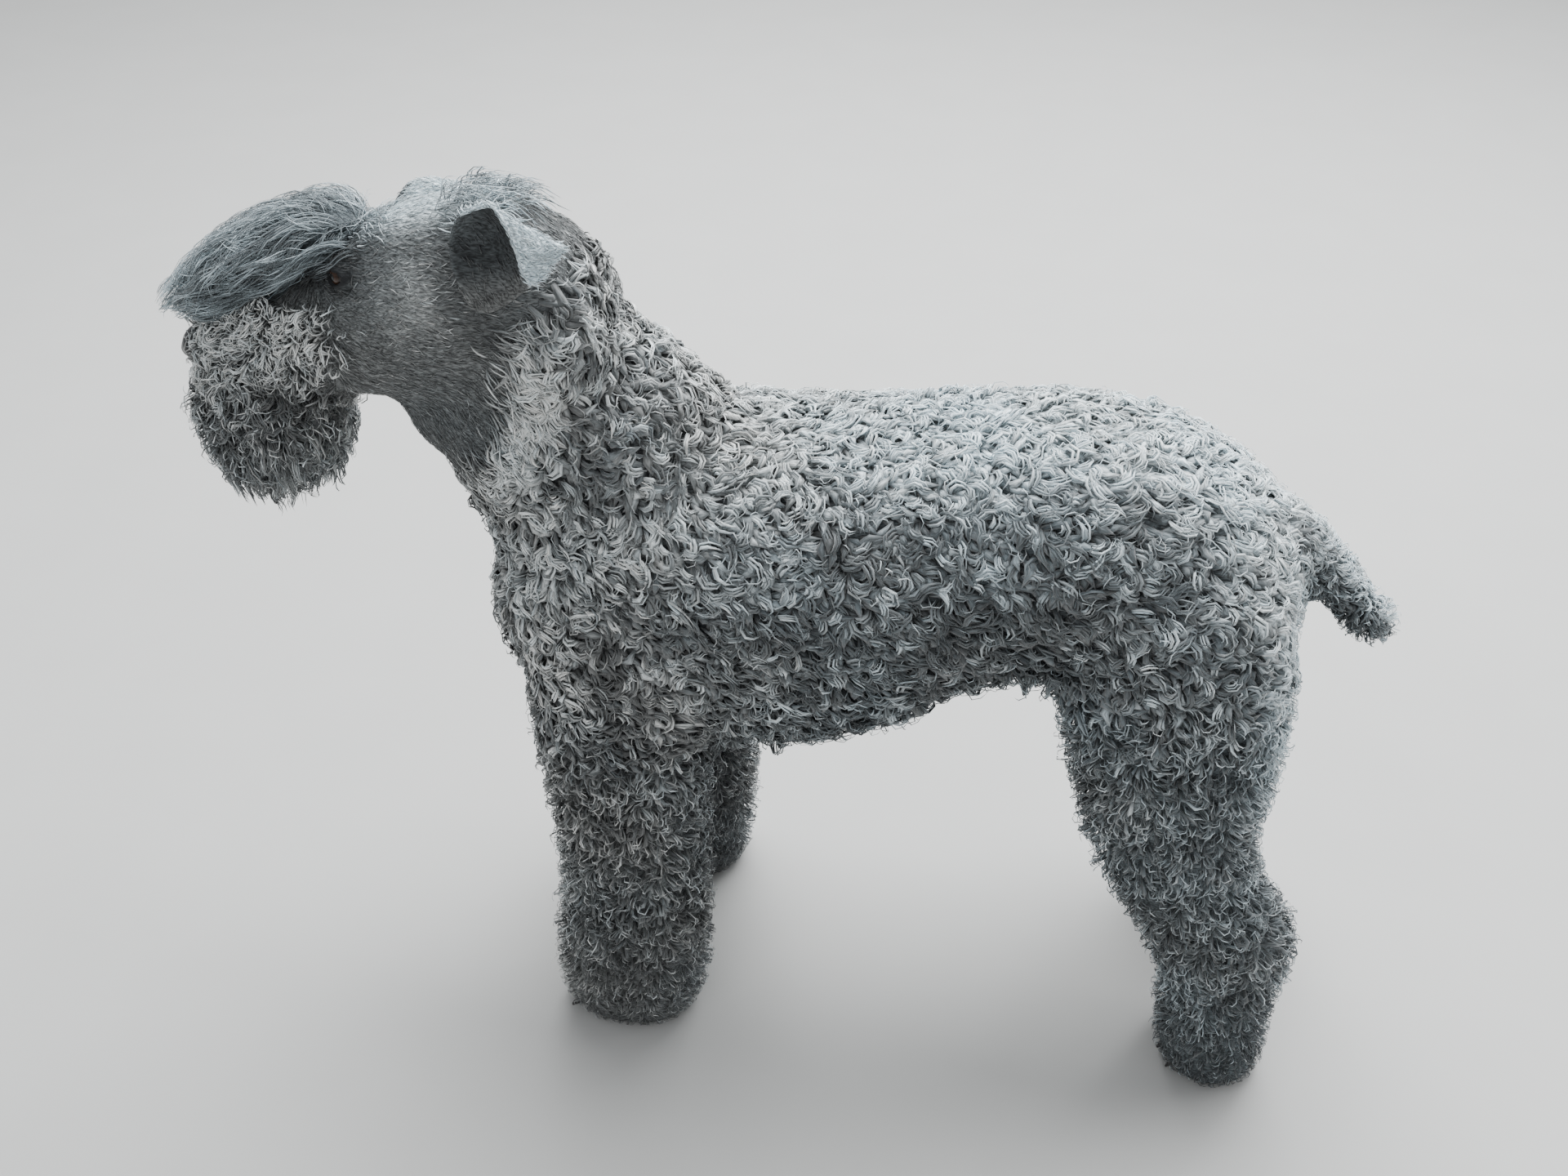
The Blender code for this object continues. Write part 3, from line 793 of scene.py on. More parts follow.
def sculpt_eyes(points, face):
    """Skin drawn over each eyeball as lids, open in an almond.

    Seen along the gaze, a point's height is that of a sphere a lid's thickness
    over the eyeball, the eyeball's own less a little inside the almond, and the
    skin's own beyond the socket, with a smooth change between.
    """
    head = to_head(points)
    for node, side in EYE_SIDES:
        radius = eye_centre(node)[1]
        across, upward, height = seen_by(node, side, head)
        rho = np.hypot(across, upward)
        near = (rho < SOCKET) & (height > SOCKET_HEIGHTS[0]) & (height < SOCKET_HEIGHTS[1])
        lid_radius = radius + LID
        lid = np.sqrt(np.maximum(lid_radius ** 2 - rho ** 2, (0.42 * lid_radius) ** 2))
        ball = np.sqrt(np.maximum(radius ** 2 - rho ** 2, 1e-8)) - EYE_SINK
        gap = almond(across, upward, face)
        rim = RIM * bell(gap, 1.25, 0.35)
        fold = FOLD * bell(gap, 2.6, 0.45) * (upward > LID_TILT * across)
        shaped = np.where(gap < 1, ball, lid + rim - fold)
        keep = ramp(rho, *LIDS_END)
        moved = height * keep + shaped * (1 - keep)
        head = np.where(near[:, None], head + (moved - height)[:, None] * gaze(side)[0], head)
    return from_head(head)


LIP_SWELL, LIP_GROOVE, STOP_DEPTH = 0.0016, 0.0042, 0.0022


def sculpt_mouth(points, normals):
    """A groove along the lips on both sides of the muzzle, and the stop between the eyes."""
    head = to_head(points)
    along, aside, rise = head.T
    stop = bell(aside, 0.0, 0.010) * bell(along, 0.118, 0.020) * (rise > 0.03)
    height = (LIP_SWELL * on_lips(head, 0.0075) - LIP_GROOVE * on_lips(head, 0.0022)
              - STOP_DEPTH * stop)
    return points + normals * height[:, None]


def near_openings(points, face):
    """1 on the bare dark skin of lid rims, lips and soles, 0 elsewhere."""
    head = to_head(points)
    bare = np.maximum(ramp(0.004 - points[:, 2], 0.0, 0.003), on_lips(head, 0.004))
    for node, side in EYE_SIDES:
        across, upward, height = seen_by(node, side, head)
        rims = 1 - ramp(almond(across, upward, face), 1.3, 2.2)
        bare = np.maximum(bare, rims * (height > 0))
    return np.clip(bare, 0, 1)


def refine_near_eyes(mesh):
    """Cut the skin's faces finer round the eyes."""
    work = bmesh.new()
    work.from_mesh(mesh)
    centres = [Vector(middle_of(node)) for node, _ in EYE_SIDES]
    near = [edge for edge in work.edges
            if min((edge.verts[0].co - c).length for c in centres) < 0.020]
    bmesh.ops.subdivide_edges(work, edges=near, cuts=3, use_grid_fill=True)
    bmesh.ops.triangulate(work, faces=work.faces)
    work.to_mesh(mesh)
    work.free()


SOLE_GAP = 0.0006           # how far the skin's copy is swollen, and its soles' height


def skin_mesh(settings, face):
    """One skin under the coat, sunk by the coat's depth and sculpted in the face."""
    mesh = soft_copy("skin", FLESH, swell=SOLE_GAP, cell=settings.cell, passes=5)
    refine_near_eyes(mesh)
    points, triangles = corners_of(mesh)
    pairs = read(mesh.edges, "vertices", 2, np.int32)
    outline = points.copy()
    depth = relaxed(coat_depth(points, settings), pairs, 12)
    for _ in range(4):
        points = points - normals_of(points, triangles) * depth[:, None] / 4
        points = relaxed(points, pairs, 2, 0.3)
    points[:, 2] = np.maximum(points[:, 2], SOLE_GAP)
    points = sculpt_mouth(points, normals_of(points, triangles))
    points = sculpt_eyes(points, face)
    normals = normals_of(points, triangles)
    lie = unit(relaxed(lie_of(points, normals), pairs, 14))
    # the skin under the coat is dimmed: partly the undercoat's own darker tone and partly painted
    # shade between the locks, less on the clipped parts and legs
    undercoat_shade = 0.72 + 0.20 * clipped(points) + 0.12 * (part_of(points) >= FORELEG)
    made = mesh_from("skin", points, triangles)
    mark(made, lie, dots(outline - points, normals).ravel(),
         base_shade(points, normals) * undercoat_shade, warmth(points), near_openings(points, face))
    return made


# --------------------------------------------------------------------- locks
class Roots:
    """Roots of locks on a surface: place, outward normal, lie, depth and markings."""

    def __init__(self, points, normals, lie, depth, marks):
        self.points, self.normals, self.lie, self.depth = points, normals, lie, depth
        self.marks = marks

    def keep(self, mask):
        """The roots where a mask holds."""
        return Roots(*(rows[mask] for rows in vars(self).values()))

    def __len__(self):
        return len(self.points)


def scatter(mesh, spacing, rng, weigh=None, depth=None):
    """Roots spread over a surface, one for each square of the spacing.

    The triangles' areas, weighed by a function of place, are laid end to end,
    and a root falls at an even step along them, a random bit to and fro.
    """
    points, triangles = corners_of(mesh)
    a, b, c = (points[triangles[:, k]] for k in range(3))
    area = np.linalg.norm(np.cross(b - a, c - a), axis=1) / 2
    if weigh is not None:
        area = area * weigh((a + b + c) / 3)
    total = np.cumsum(area)
    count = max(int(total[-1] / spacing ** 2), 1)
    steps = (np.arange(count) + rng.random(count)) * total[-1] / count
    face = np.minimum(np.searchsorted(total, steps), len(triangles) - 1)
    share = np.sqrt(rng.random(count))[:, None]
    other = rng.random(count)[:, None]
    shares = (1 - share, share * (1 - other), share * other)

    def blend(rows):
        return sum(w * rows[triangles[face, k]] for k, w in enumerate(shares))

    normals = unit(blend(normals_of(points, triangles)))
    lie = along_skin(blend(stored(mesh, "lie")), normals)
    made = Roots(blend(points), normals, lie, blend(stored(mesh, "depth")).ravel(),
                 blend(stored(mesh, "markings")))
    if depth is not None:
        made.depth = np.full(count, depth)
    return made


# Width of a lock from root to tip, as a share of its widest: places, then shares.
WIDTH_ALONG = ([0.0, 0.22, 0.60, 0.85, 1.0], [0.60, 1.0, 0.86, 0.50, 0.06])
PATCH = 0.003               # size of a lock's patch on the unwrapped skin
STRAND_RUN = 0.006          # length of lock for each turn of the strand pattern
FLOOR_GAP = 0.0012          # how far a curl's line is kept over the floor
GOLDEN = 0.6180339887       # step that sets the locks' patterns apart
# Lines, their ups, widths, shades, tints and places on the unwrap, of locks with one
# number of rings, and how flat they are.
Batch = namedtuple("Batch", "lines ups width shade tint unwrap flat")


def lock_template(rings):
    """Triangles of one lock and, for each of their corners, its place round and along it.

    Rings of three points are joined into a tube that is shut at the root and
    ends in one point at the tip.
    """
    faces, around, along = [], [], []
    for r in range(rings):
        for k in range(3):
            low, high, j = 3 * r, 3 * r + 3, (k + 1) % 3
            s, t = r / rings, (r + 1) / rings
            u, v = k / 3, (k + 1) / 3
            if r < rings - 1:
                faces += [(low + k, low + j, high + j), (low + k, high + j, high + k)]
                around += [(u, v, v), (u, v, u)]
                along += [(s, s, t), (s, t, t)]
            else:
                faces.append((low + k, low + j, high))
                around.append((u, v, (u + v) / 2))
                along.append((s, s, t))
    faces.append((2, 1, 0))
    around.append((2 / 3, 1 / 3, 0.0))
    along.append((0.0, 0.0, 0.0))
    return np.array(faces), np.array(around), np.array(along)


def lock_surface(batch):
    """Points, triangles, markings and both UV layers of a batch of locks.

    Each lock is a tapered three-sided tube about its line. A ring's first point
    stands towards the lock's own up, the others either side below it.
    """
    lines = batch.lines
    count, rings = lines.shape[0], lines.shape[1] - 1
    s = np.linspace(0, 1, rings + 1)
    ahead = unit(np.gradient(lines, axis=1))
    up = batch.ups[:, None] if batch.ups.ndim == 2 else batch.ups
    up = unit(up - ahead * dots(up, ahead) + 1e-6)
    across = np.cross(up, ahead)
    width = batch.width[:, None, None] * np.interp(s, *WIDTH_ALONG)[None, :, None]
    ring = np.stack([lines + across * width * math.cos(turn)
                     + up * width * batch.flat * math.sin(turn)
                     for turn in np.radians((90, 210, 330))], axis=2)
    points = np.concatenate([ring[:, :rings].reshape(count, -1, 3), lines[:, -1:]], axis=1)
    faces, around, along = lock_template(rings)
    size = 3 * rings + 1
    triangles = (faces[None] + (np.arange(count) * size)[:, None, None]).reshape(-1, 3)

    place = np.repeat(np.arange(rings), 3).tolist() + [rings]
    marks = np.ones((count, size, 4))
    marks[..., 0] = np.clip(batch.shade[:, place], 0, 1)
    marks[..., 1] = np.clip(batch.tint, 0, 1)[:, None]
    marks[..., 2] = 0.0

    length = np.linalg.norm(np.diff(lines, axis=1), axis=2).sum(axis=1)
    seeds = (np.arange(count) * GOLDEN) % 1.0
    own = np.stack([around + 13 * seeds[:, None, None],
                    along * (length / STRAND_RUN)[:, None, None] + 7 * seeds[:, None, None]],
                   axis=-1)
    baked = batch.unwrap[:, None, None] + (np.stack([around, along], axis=-1) - 0.5) * PATCH
    return (points.reshape(-1, 3), triangles, marks.reshape(-1, 4), own.reshape(-1, 2),
            baked.reshape(-1, 2))


def lock_mesh(name, batches):
    """A mesh that joins batches of locks."""
    made = [lock_surface(batch) for batch in batches if len(batch.lines)]
    starts = np.cumsum([0] + [len(part[0]) for part in made[:-1]])
    triangles = np.concatenate([part[1] + start for part, start in zip(made, starts)])
    points, marks, own, baked = (np.concatenate([part[k] for part in made])
                                 for k in (0, 2, 3, 4))
    mesh = mesh_from(name, points, triangles)
    store(mesh, "markings", "FLOAT_COLOR", marks)
    write(mesh.uv_layers.new(name="OFBake").data, "uv", baked)
    write(mesh.uv_layers.new(name="Strand").data, "uv", own)
    mesh.uv_layers["OFBake"].active_render = True
    return mesh


def unwrapped(points, axis_point, axis, side_way):
    """Places on a cylinder rolled out flat: turn round an axis, and distance along it.

    The seam is opposite to side_way. Both are scaled into the unit square.
    """
    axis, side_way = unit(np.asarray(axis, float)), np.asarray(side_way, float)
    q = points - axis_point
    run = q @ axis
    out = q - run[:, None] * axis
    first = unit(side_way - axis * (side_way @ axis))
    turn = np.arctan2(out @ np.cross(axis, first), out @ first) / (2 * math.pi) + 0.5
    spread = (run - run.min()) / max(np.ptp(run), 1e-6)
    return np.stack([0.02 + 0.96 * turn, 0.02 + 0.96 * spread], axis=1)


def laid_out(roots, heading, forth, aside, height):
    """Lines from roots: steps forth along a heading, aside across it, and off the skin."""
    beside = np.cross(roots.normals, heading)
    return (roots.points[:, None] + heading[:, None] * forth[..., None]
            + beside[:, None] * aside[..., None]
            + roots.normals[:, None] * height[..., None])


def ranks(members, groups):
    """Places of the strands in each group, counted from the group's middle."""
    return np.tile(np.arange(members) - (members - 1) / 2, groups)


def swirl(points):
    """How far the locks are turned off the lie at each place, so that neighbours agree."""
    return 1.1 * wander(points, 0.034, 51) + 0.8 * wander(points, 0.014, 52)


class Curls:
    """Lines of crescent curls in groups of strands nested side by side.

    A group sets off along the lie, turned as its neighbours are and a random way
    more, and bends at an even rate to one side while its height over the skin
    climbs to the coat's depth near mid-length and dips again towards the tip. The
    depth swells and sinks from clump to clump. The strands of a group lie a pitch
    apart across its path and draw together at both ends. All are smaller on the feet.
    """

    def __init__(self, roots, rng, rings, length, turn, spread, rise, dip, members=1,
                 pitch=0.0):
        groups = len(roots)
        count = groups * members

        def each(rows):
            return np.repeat(rows, members, axis=0)

        s = np.linspace(0, 1, rings + 1)[None]
        off_lie = spread * swirl(roots.points) + rng.normal(0, 0.30 * spread + 0.10, groups)
        self.points, self.normals = each(roots.points), each(roots.normals)
        heading = each(turned(roots.lie, roots.normals, off_lie))
        side = wander(roots.points, 0.020, 53) + rng.normal(0, 0.35, groups)
        bend = each(turn * rng.uniform(0.5, 1.35, groups) * np.where(side > 0, 1, -1))
        bend = bend * rng.uniform(0.85, 1.15, count)
        legs = part_of(roots.points) >= FORELEG
        size = 1 + np.where(legs, 0.20, -0.18) * near_legtop(roots.points)
        self.scale = each(size - 0.34 * (1 - ramp(roots.points[:, 2], 0.03, 0.11)))
        reach = each(length * rng.uniform(0.75, 1.25, groups)) * rng.uniform(0.7, 1.1, count)
        reach = reach * self.scale
        angle = bend[:, None] * (s - 0.35)
        middle = (angle[:, 1:] + angle[:, :-1]) / 2
        step = (reach / rings)[:, None]
        zero = np.zeros((count, 1))
        forth = np.concatenate([zero, np.cumsum(np.cos(middle) * step, axis=1)], axis=1)
        aside = np.concatenate([zero, np.cumsum(np.sin(middle) * step, axis=1)], axis=1)
        rank = ranks(members, groups) + rng.normal(0, 0.22, count)
        off = (rank * pitch * self.scale)[:, None]
        off = off * (0.35 + 0.65 * np.sin(np.pi * (0.06 + 0.88 * s)))
        forth += -0.25 * reach[:, None] - off * np.sin(angle)
        aside += off * np.cos(angle)
        clump = 0.86 + 0.22 * wander(roots.points, 0.017, 54)
        top = each(roots.depth * clump * rng.uniform(*rise, groups))
        top = top + rng.normal(0, 0.0005, count)
        peak = each(rng.uniform(0.36, 0.62, groups))[:, None]
        climb = 0.12 + 0.88 * np.sin(np.pi / 2 * np.clip(s / peak, 0, 1)) ** 0.8
        fall = 1 - dip * rng.uniform(0.3, 1.2, count)[:, None] * ramp(s, peak, 1.2)
        height = top[:, None] * np.where(s < peak, climb, fall)
        self.lines = laid_out(self, heading, forth, aside, height)
        self.lines[..., 2] = np.maximum(self.lines[..., 2], FLOOR_GAP)


# Shade of a curl from root to tip, as a share of its own: places, then shares.
# Dark at the root, partly own colour and partly painted shade; lightest near the crest, a painted
# highlight.
SHADE_ALONG = ([0, 0.25, 0.5, 0.8, 1], [0.68, 0.88, 1.06, 1.0, 0.90])


def lock_shades(tone, rings, members, rng, silver=0.10, contrast=0.20):
    """Shade along each strand from its group's tone.

    Dark at the root, partly the hair's own colour and partly painted shade, and
    lightest at the crest, a painted highlight. Whole groups are silver here and
    there, and the strands of a group differ a little.
    """
    s = np.linspace(0, 1, rings + 1)
    own = tone * rng.lognormal(-0.02, contrast, len(tone))
    bright = rng.random(len(tone)) < silver * (0.5 + 1.6 * tone)
    own = np.where(bright, own + rng.uniform(0.18, 0.50, len(tone)), own)
    own = np.repeat(own, members) * rng.lognormal(0, 0.13, len(tone) * members)
    return own[:, None] * np.interp(s, *SHADE_ALONG)[None]


def short_lines(roots, length, rings, rng, spread, lift):
    """Lines of short flat tufts: along the lie, lifting a little off the skin."""
    count = len(roots)
    s = np.linspace(0, 1, rings + 1)[None]
    heading = turned(roots.lie, roots.normals, rng.normal(0, spread, count))
    forth = length[:, None] * s
    aside = length[:, None] * rng.normal(0, 0.22, count)[:, None] * s ** 2
    height = (length * lift * rng.uniform(0.4, 1.3, count))[:, None] * np.sin(s * 2.2)
    return laid_out(roots, heading, forth, aside, height * 0.8)


def combed(roots, target, flow, free, length, rings):
    """Lines that run over a surface the way a flow goes, step by step.

    Each step goes on along the flow at that place, blended with the last heading,
    and the line is laid on the surface until it is free of it.
    """
    here, heading, up = roots.points.copy(), roots.lie.copy(), roots.normals.copy()
    step = (length / rings)[:, None]
    lines, ups = [here], [up]
    for _ in range(rings):
        heading = unit(0.5 * heading + 0.5 * flow(to_head(here)))
        ahead = here + heading * step
        low = pressed(ahead, target, 0.0)
        lifted = unit(pressed(ahead, target, 0.012) - low)
        loose = free(to_head(ahead))[:, None]
        here = np.where(loose, ahead, low)
        up = unit(np.where(loose, 0.8 * up + 0.2 * heading, lifted))
        heading = unit(here - lines[-1])
        lines.append(here)
        ups.append(up)
    return np.stack(lines, axis=1), np.stack(ups, axis=1)


def stranded(lines, ups, rng, members, pitch, height, wave, waves, stray=0.0):
    """Strands about each line: side by side, lifted off it and waving together.

    The strands draw together towards the tip, save for how far each strays aside.
    The wave grows towards the tip, and strands of one lock are nearly in step.
    """
    groups, rings = lines.shape[0], lines.shape[1] - 1
    count = groups * members

    def each(rows):
        return np.repeat(rows, members, axis=0)

    s = np.linspace(0, 1, rings + 1)[None]
    lines, ups = each(lines), each(ups)
    across = unit(np.cross(ups, unit(np.gradient(lines, axis=1))))
    rank = ranks(members, groups) + rng.normal(0, 0.3, count)
    aside = (rank * pitch)[:, None] * (1.0 - 0.55 * s ** 1.5)
    rise = each(height)[:, None] * np.sin(np.pi * (0.06 + 0.80 * s)) ** 0.7
    rise = rise + rng.normal(0, 0.0008, count)[:, None]
    phase = (each(rng.uniform(0, 2 * math.pi, groups)) + rng.normal(0, 0.35, count))[:, None]
    rate = 2 * math.pi * waves * each(rng.uniform(0.7, 1.3, groups))[:, None]
    reach = wave * each(rng.uniform(0.4, 1.3, groups))[:, None] * s ** 0.8
    aside = aside + reach * (np.sin(phase + rate * s) - np.sin(phase))
    aside = aside + rng.normal(0, stray + 1e-9, count)[:, None] * s ** 1.5
    rise = rise + 0.4 * reach * (np.cos(phase + rate * s) - np.cos(phase))
    return lines + across * aside[..., None] + ups * rise[..., None], ups


class Grower:
    """One piece of coat while it grows: its unwrap, random draws, tone and batches."""

    def __init__(self, line, seed, tone=base_shade):
        self.coat = bpy.context.scene.dog_coat
        self.line, self.tone = line, tone
        self.rng = np.random.default_rng(seed)
        self.batches = []

    def piece(self, name, material, slot):
        """The piece that all batches so far make up."""
        return settle(name, lock_mesh(name, self.batches), material, slot)

    def tints(self, points, middle=None, vary=0.15):
        """Tint of each lock about a middle, or about the tint of its place."""
        middle = warmth(points) if middle is None else middle
        return middle + self.rng.normal(0, vary, len(points))

    def shades(self, roots, rings, members=1, **looks):
        """Shade along each strand from the tone of its root."""
        return lock_shades(self.tone(roots.points, roots.normals), rings, members, self.rng,
                           **looks)

    def add(self, lines, ups, width, shade, tint, at, flat):
        """A batch of locks joined to the piece; at gives their places on the unwrap."""
        self.batches.append(Batch(lines, ups, width, shade, tint, unwrapped(at, *self.line),
                                  flat))

    def add_curls(self, made, width, shade, tint, flat):
        """A batch of curls."""
        self.add(made.lines, made.normals, width * made.scale, shade, tint, made.points, flat)

    def fleece(self, roots, size, spread, broad=1.0):
        """Broad dim locks that lie low and fill the coat."""
        coat, rings = self.coat, 2
        made = Curls(roots, self.rng, rings, length=1.05 * coat.curl_length * size, turn=1.2,
                     spread=spread, rise=(0.50, 0.78), dip=0.30)
        width = broad * coat.curl_width * size * self.rng.uniform(2.3, 3.9, len(roots))
        width = width * np.clip(roots.depth / 0.008, 0.45, 1.0)
        shade = 0.88 * self.shades(roots, rings, silver=0.0, contrast=0.16)
        self.add_curls(made, width, shade, self.tints(roots.points), 0.22)

    def crescents(self, roots, size, spread, turn, silver, members=3, contrast=0.20, rings=4):
        """The curls that show: groups of nested crescents."""
        coat = self.coat
        made = Curls(roots, self.rng, rings, length=coat.curl_length * size, turn=turn,
                     spread=spread, rise=(0.80, 1.06), dip=0.75, members=members,
                     pitch=1.75 * coat.curl_width * size)
        silver = silver + (0.14 - silver) * near_legtop(roots.points)
        width = coat.curl_width * size * self.rng.uniform(0.55, 1.35, len(made.lines))
        shade = self.shades(roots, rings, members, silver=silver, contrast=contrast)
        self.add_curls(made, width, shade, self.tints(made.points), 0.5)

    def wisps(self, roots, size):
        """Fine hairs that stand a little off the coat and soften its outline."""
        coat, rings = self.coat, 3
        made = Curls(roots, self.rng, rings, length=0.75 * coat.curl_length * size, turn=2.2,
                     spread=1.5, rise=(0.85, 1.20), dip=0.25)
        width = coat.curl_width * self.rng.uniform(0.28, 0.55, len(roots))
        shade = 1.15 * self.shades(roots, rings, silver=0.35)
        self.add_curls(made, width, shade, self.tints(roots.points), 0.8)

    def hairs(self, roots, rings, width, flat, tone, tint=None, vary=0.15, silver=0.10,
              contrast=0.20, **shape):
        """Single hairs with a tone, tint and shape of their own."""
        made = Curls(roots, self.rng, rings, **shape)
        shade = lock_shades(tone(roots.points, roots.normals), rings, 1, self.rng, silver,
                            contrast)
        width = self.rng.uniform(*width, len(roots))
        self.add_curls(made, width, shade, self.tints(roots.points, tint, vary), flat)

    def tufts(self, roots, tone, length, rings, spread, lift, contrast, shade_along, flat,
              tint=None, vary=0.15, silver=0.0):
        """Short flat tufts that lie over the skin; a share of them is silver."""
        rng, count = self.rng, len(roots)
        lines = short_lines(roots, rng.uniform(*length, count), rings, rng, spread, lift)
        tone = tone * rng.lognormal(-0.02, contrast, count)
        if silver:
            tone = np.where(rng.random(count) < silver, tone + rng.uniform(0.15, 0.40, count),
                            tone)
        # the shade runs from a darker root to a paler tip: partly the hair's own colour, partly
        # painted shade at the root
        shade = tone[:, None] * np.interp(np.linspace(0, 1, rings + 1), *shade_along)[None]
        width = rng.uniform(0.0003, 0.0006, count)
        self.add(lines, roots.normals, width, shade, self.tints(roots.points, tint, vary),
                 roots.points, flat)

    def strands(self, roots, core, flow, free, length, rings, width, **shape):
        """Lines, ups and widths of waving strands, combed over a core."""
        lines, ups = combed(roots, core, flow, free, length, rings)
        lines, ups = stranded(lines, ups, self.rng, **shape)
        return lines, ups, self.rng.uniform(*width, len(lines))


def furry_piece(name, where, line, seed, material, size=1.0, gap=1.0, spread=1.0, turn=2.6,
                wispy=1.0, silver=0.30, broad=1.0, members=3, contrast=0.16, rings=4):
    """A piece of coat where a test of place holds: fleece, crescents and wisps.

    The coat hangs a little deeper under the belly, in waves, and at the tail's end.
    """
    coat, skin = bpy.context.scene.dog_coat, need("skin")
    fur = Grower(line, seed)

    def grown(spacing):
        roots = scatter(skin, spacing * gap, fur.rng, lambda at: where(at).astype(float))
        x, _, z = roots.points.T
        below = ramp(-roots.normals[:, 2], 0.1, 0.7) * (z > 0.20) * (x < 0.30)
        tail_end = ramp(x, 0.345, 0.375) * (z > 0.25)
        hang = 1 + 0.32 * below * (1 + 1.6 * wander(roots.points, 0.016, 12)) + 0.7 * tail_end
        roots.depth = np.maximum(roots.depth, 0.003) * hang
        return roots

    fur.fleece(grown(coat.fleece_spacing), size, 0.8 * spread, broad)
    fur.crescents(grown(coat.curl_spacing), size, spread, turn, silver, members, contrast,
                  rings)
    fur.wisps(grown(coat.wisp_spacing / wispy), size)
    return fur.piece(name, material, "coat")


# ----------------------------------------------------------------- operators
class DOG_OT_skin(bpy.types.Operator):
    """Make the skin that lies under the whole coat"""
    bl_idname = "dog.skin"
    bl_label = "Skin"

    def execute(self, context):
        scene = context.scene
        settle("skin", skin_mesh(scene.dog_skin, scene.dog_face),
               skin_material("skin_and_undercoat"), "coat", *FLESH)
        return {"FINISHED"}


def ball_grid(rings, sides):
    """Angles from an axis and round it, on a grid that leaves out both poles."""
    angle = np.linspace(0, math.pi, rings + 2)[1:-1]
    return np.meshgrid(angle, once_round(sides), indexing="ij")


EYE_SHARE = 0.985           # radius of the eyeball, as a share of the CAD eye's
CORNEA = 0.0007             # how far the cornea stands out at its middle
CORNEA_ANGLE = 0.62         # where it ends, from the gaze


def eyeball(centre, radius, out, nose_ward, up):
    """An eye: a sphere whose front swells into a cornea.

    On a grid of turn round the gaze and angle from it, the radius is the
    eyeball's, and within the cornea a bump of raised cosine is added.
    """
    angle, turn = ball_grid(rings=27, sides=40)
    radius = radius * EYE_SHARE
    cornea = CORNEA * (0.5 + 0.5 * np.cos(np.clip(angle / CORNEA_ANGLE, 0, 1) * math.pi))
    angle, turn = angle[..., None], turn[..., None]
    ball = np.cos(angle) * out + np.sin(angle) * (np.cos(turn) * nose_ward + np.sin(turn) * up)
    points = centre + ball * (radius + cornea)[..., None]
    poles = np.array([centre + out * (radius + CORNEA), centre - out * radius])
    return mesh_from("eye", *closed_rings(points, poles))


class DOG_OT_eyes(bpy.types.Operator):
    """Make both eyes, with cornea, iris and pupil"""
    bl_idname = "dog.eyes"
    bl_label = "Eyes"

    def execute(self, context):
        material = eye_material(context.scene.dog_face.iris)
        for node, side in EYE_SIDES:
            centre, radius = eye_centre(node)
            out, nose_ward, up = (v @ HEAD_AXES for v in gaze(side))
            mesh = eyeball(centre, radius, out, nose_ward, up)
            points, triangles = corners_of(mesh)
            way = unit(points - centre)
            angle = np.arccos(np.clip(way @ out, -1, 1)) / math.pi
            turn = np.arctan2(way @ up, way @ nose_ward)
            uv = np.stack([angle, 0.5 + 0.5 * np.cos(turn)], axis=1)[triangles.ravel()]
            write(mesh.uv_layers.new(name="Iris").data, "uv", uv)
            settle("eyeball_" + node[4:], mesh, material, "eye", node)
        return {"FINISHED"}


NOSE_SIZE = (0.0140, 0.0165, 0.0135)        # half sizes along, across and up


class DOG_OT_nose(bpy.types.Operator):
    """Make the nose pad with its nostrils"""
    bl_idname = "dog.nose"
    bl_label = "Nose"

    def execute(self, context):
        angle, turn = ball_grid(rings=60, sides=72)
        way = np.stack([np.cos(angle), np.sin(angle) * np.cos(turn),
                        np.sin(angle) * np.sin(turn)], axis=-1)
        ends = np.array([(1.0, 0.0, 0.0), (-1.0, 0.0, 0.0)])
        mesh = mesh_from("nose", *closed_rings(self.shaped(way), self.shaped(ends)))
        settle("nose_pad", mesh, nose_material(context.scene.dog_face.nose), "nose_pad",
               "nose")
        return {"FINISHED"}

    @staticmethod
    def shaped(way):
        """The pad from a unit ball: a flattened front, a groove down the middle, nostrils.

        Each nostril is a round pit whose slit curls out and back along the side.
        """
        x, y, z = way[..., 0], way[..., 1], way[..., 2]
        front = ramp(x, 0.1, 0.9)
        off = abs(y)
        groove = bell(y, 0.0, 0.07) * ramp(x, 0.2, 0.7) * ramp(-z, -0.5, 0.2)
        pit = bell(off, 0.42, 0.17) * bell(z, -0.12, 0.20) * (x > 0)
        slit = bell(z, -0.20 - 0.25 * (off - 0.6), 0.09)
        slit = slit * ramp(off, 0.42, 0.60) * (1 - ramp(off, 0.86, 0.97)) * (x > -0.2)
        wing = bell(off, 0.62, 0.18) * bell(z, 0.12, 0.25) * front
        scale = 1 - 0.08 * front - 0.10 * groove - 0.34 * pit - 0.16 * slit + 0.06 * wing
        centre = np.array((NOSE_ALONG, 0.0, NOSE_RISE))
        return from_head(centre + way * scale[..., None] * np.array(NOSE_SIZE))


CLAW_LENGTH, CLAW_THICK, CLAW_RINGS, CLAW_SIDES = 0.011, 0.0026, 9, 12
CLAW_SHARES = np.array((0.22, 0.41, 0.60, 0.79))    # places across the foot
CLAW_SETBACK, CLAW_BOW = 0.031, 0.014   # from the foot's front, and less on the middle toes
CLAW_HEIGHT, CLAW_GAP = 0.0105, 0.0008  # height of the roots, and least height over the floor


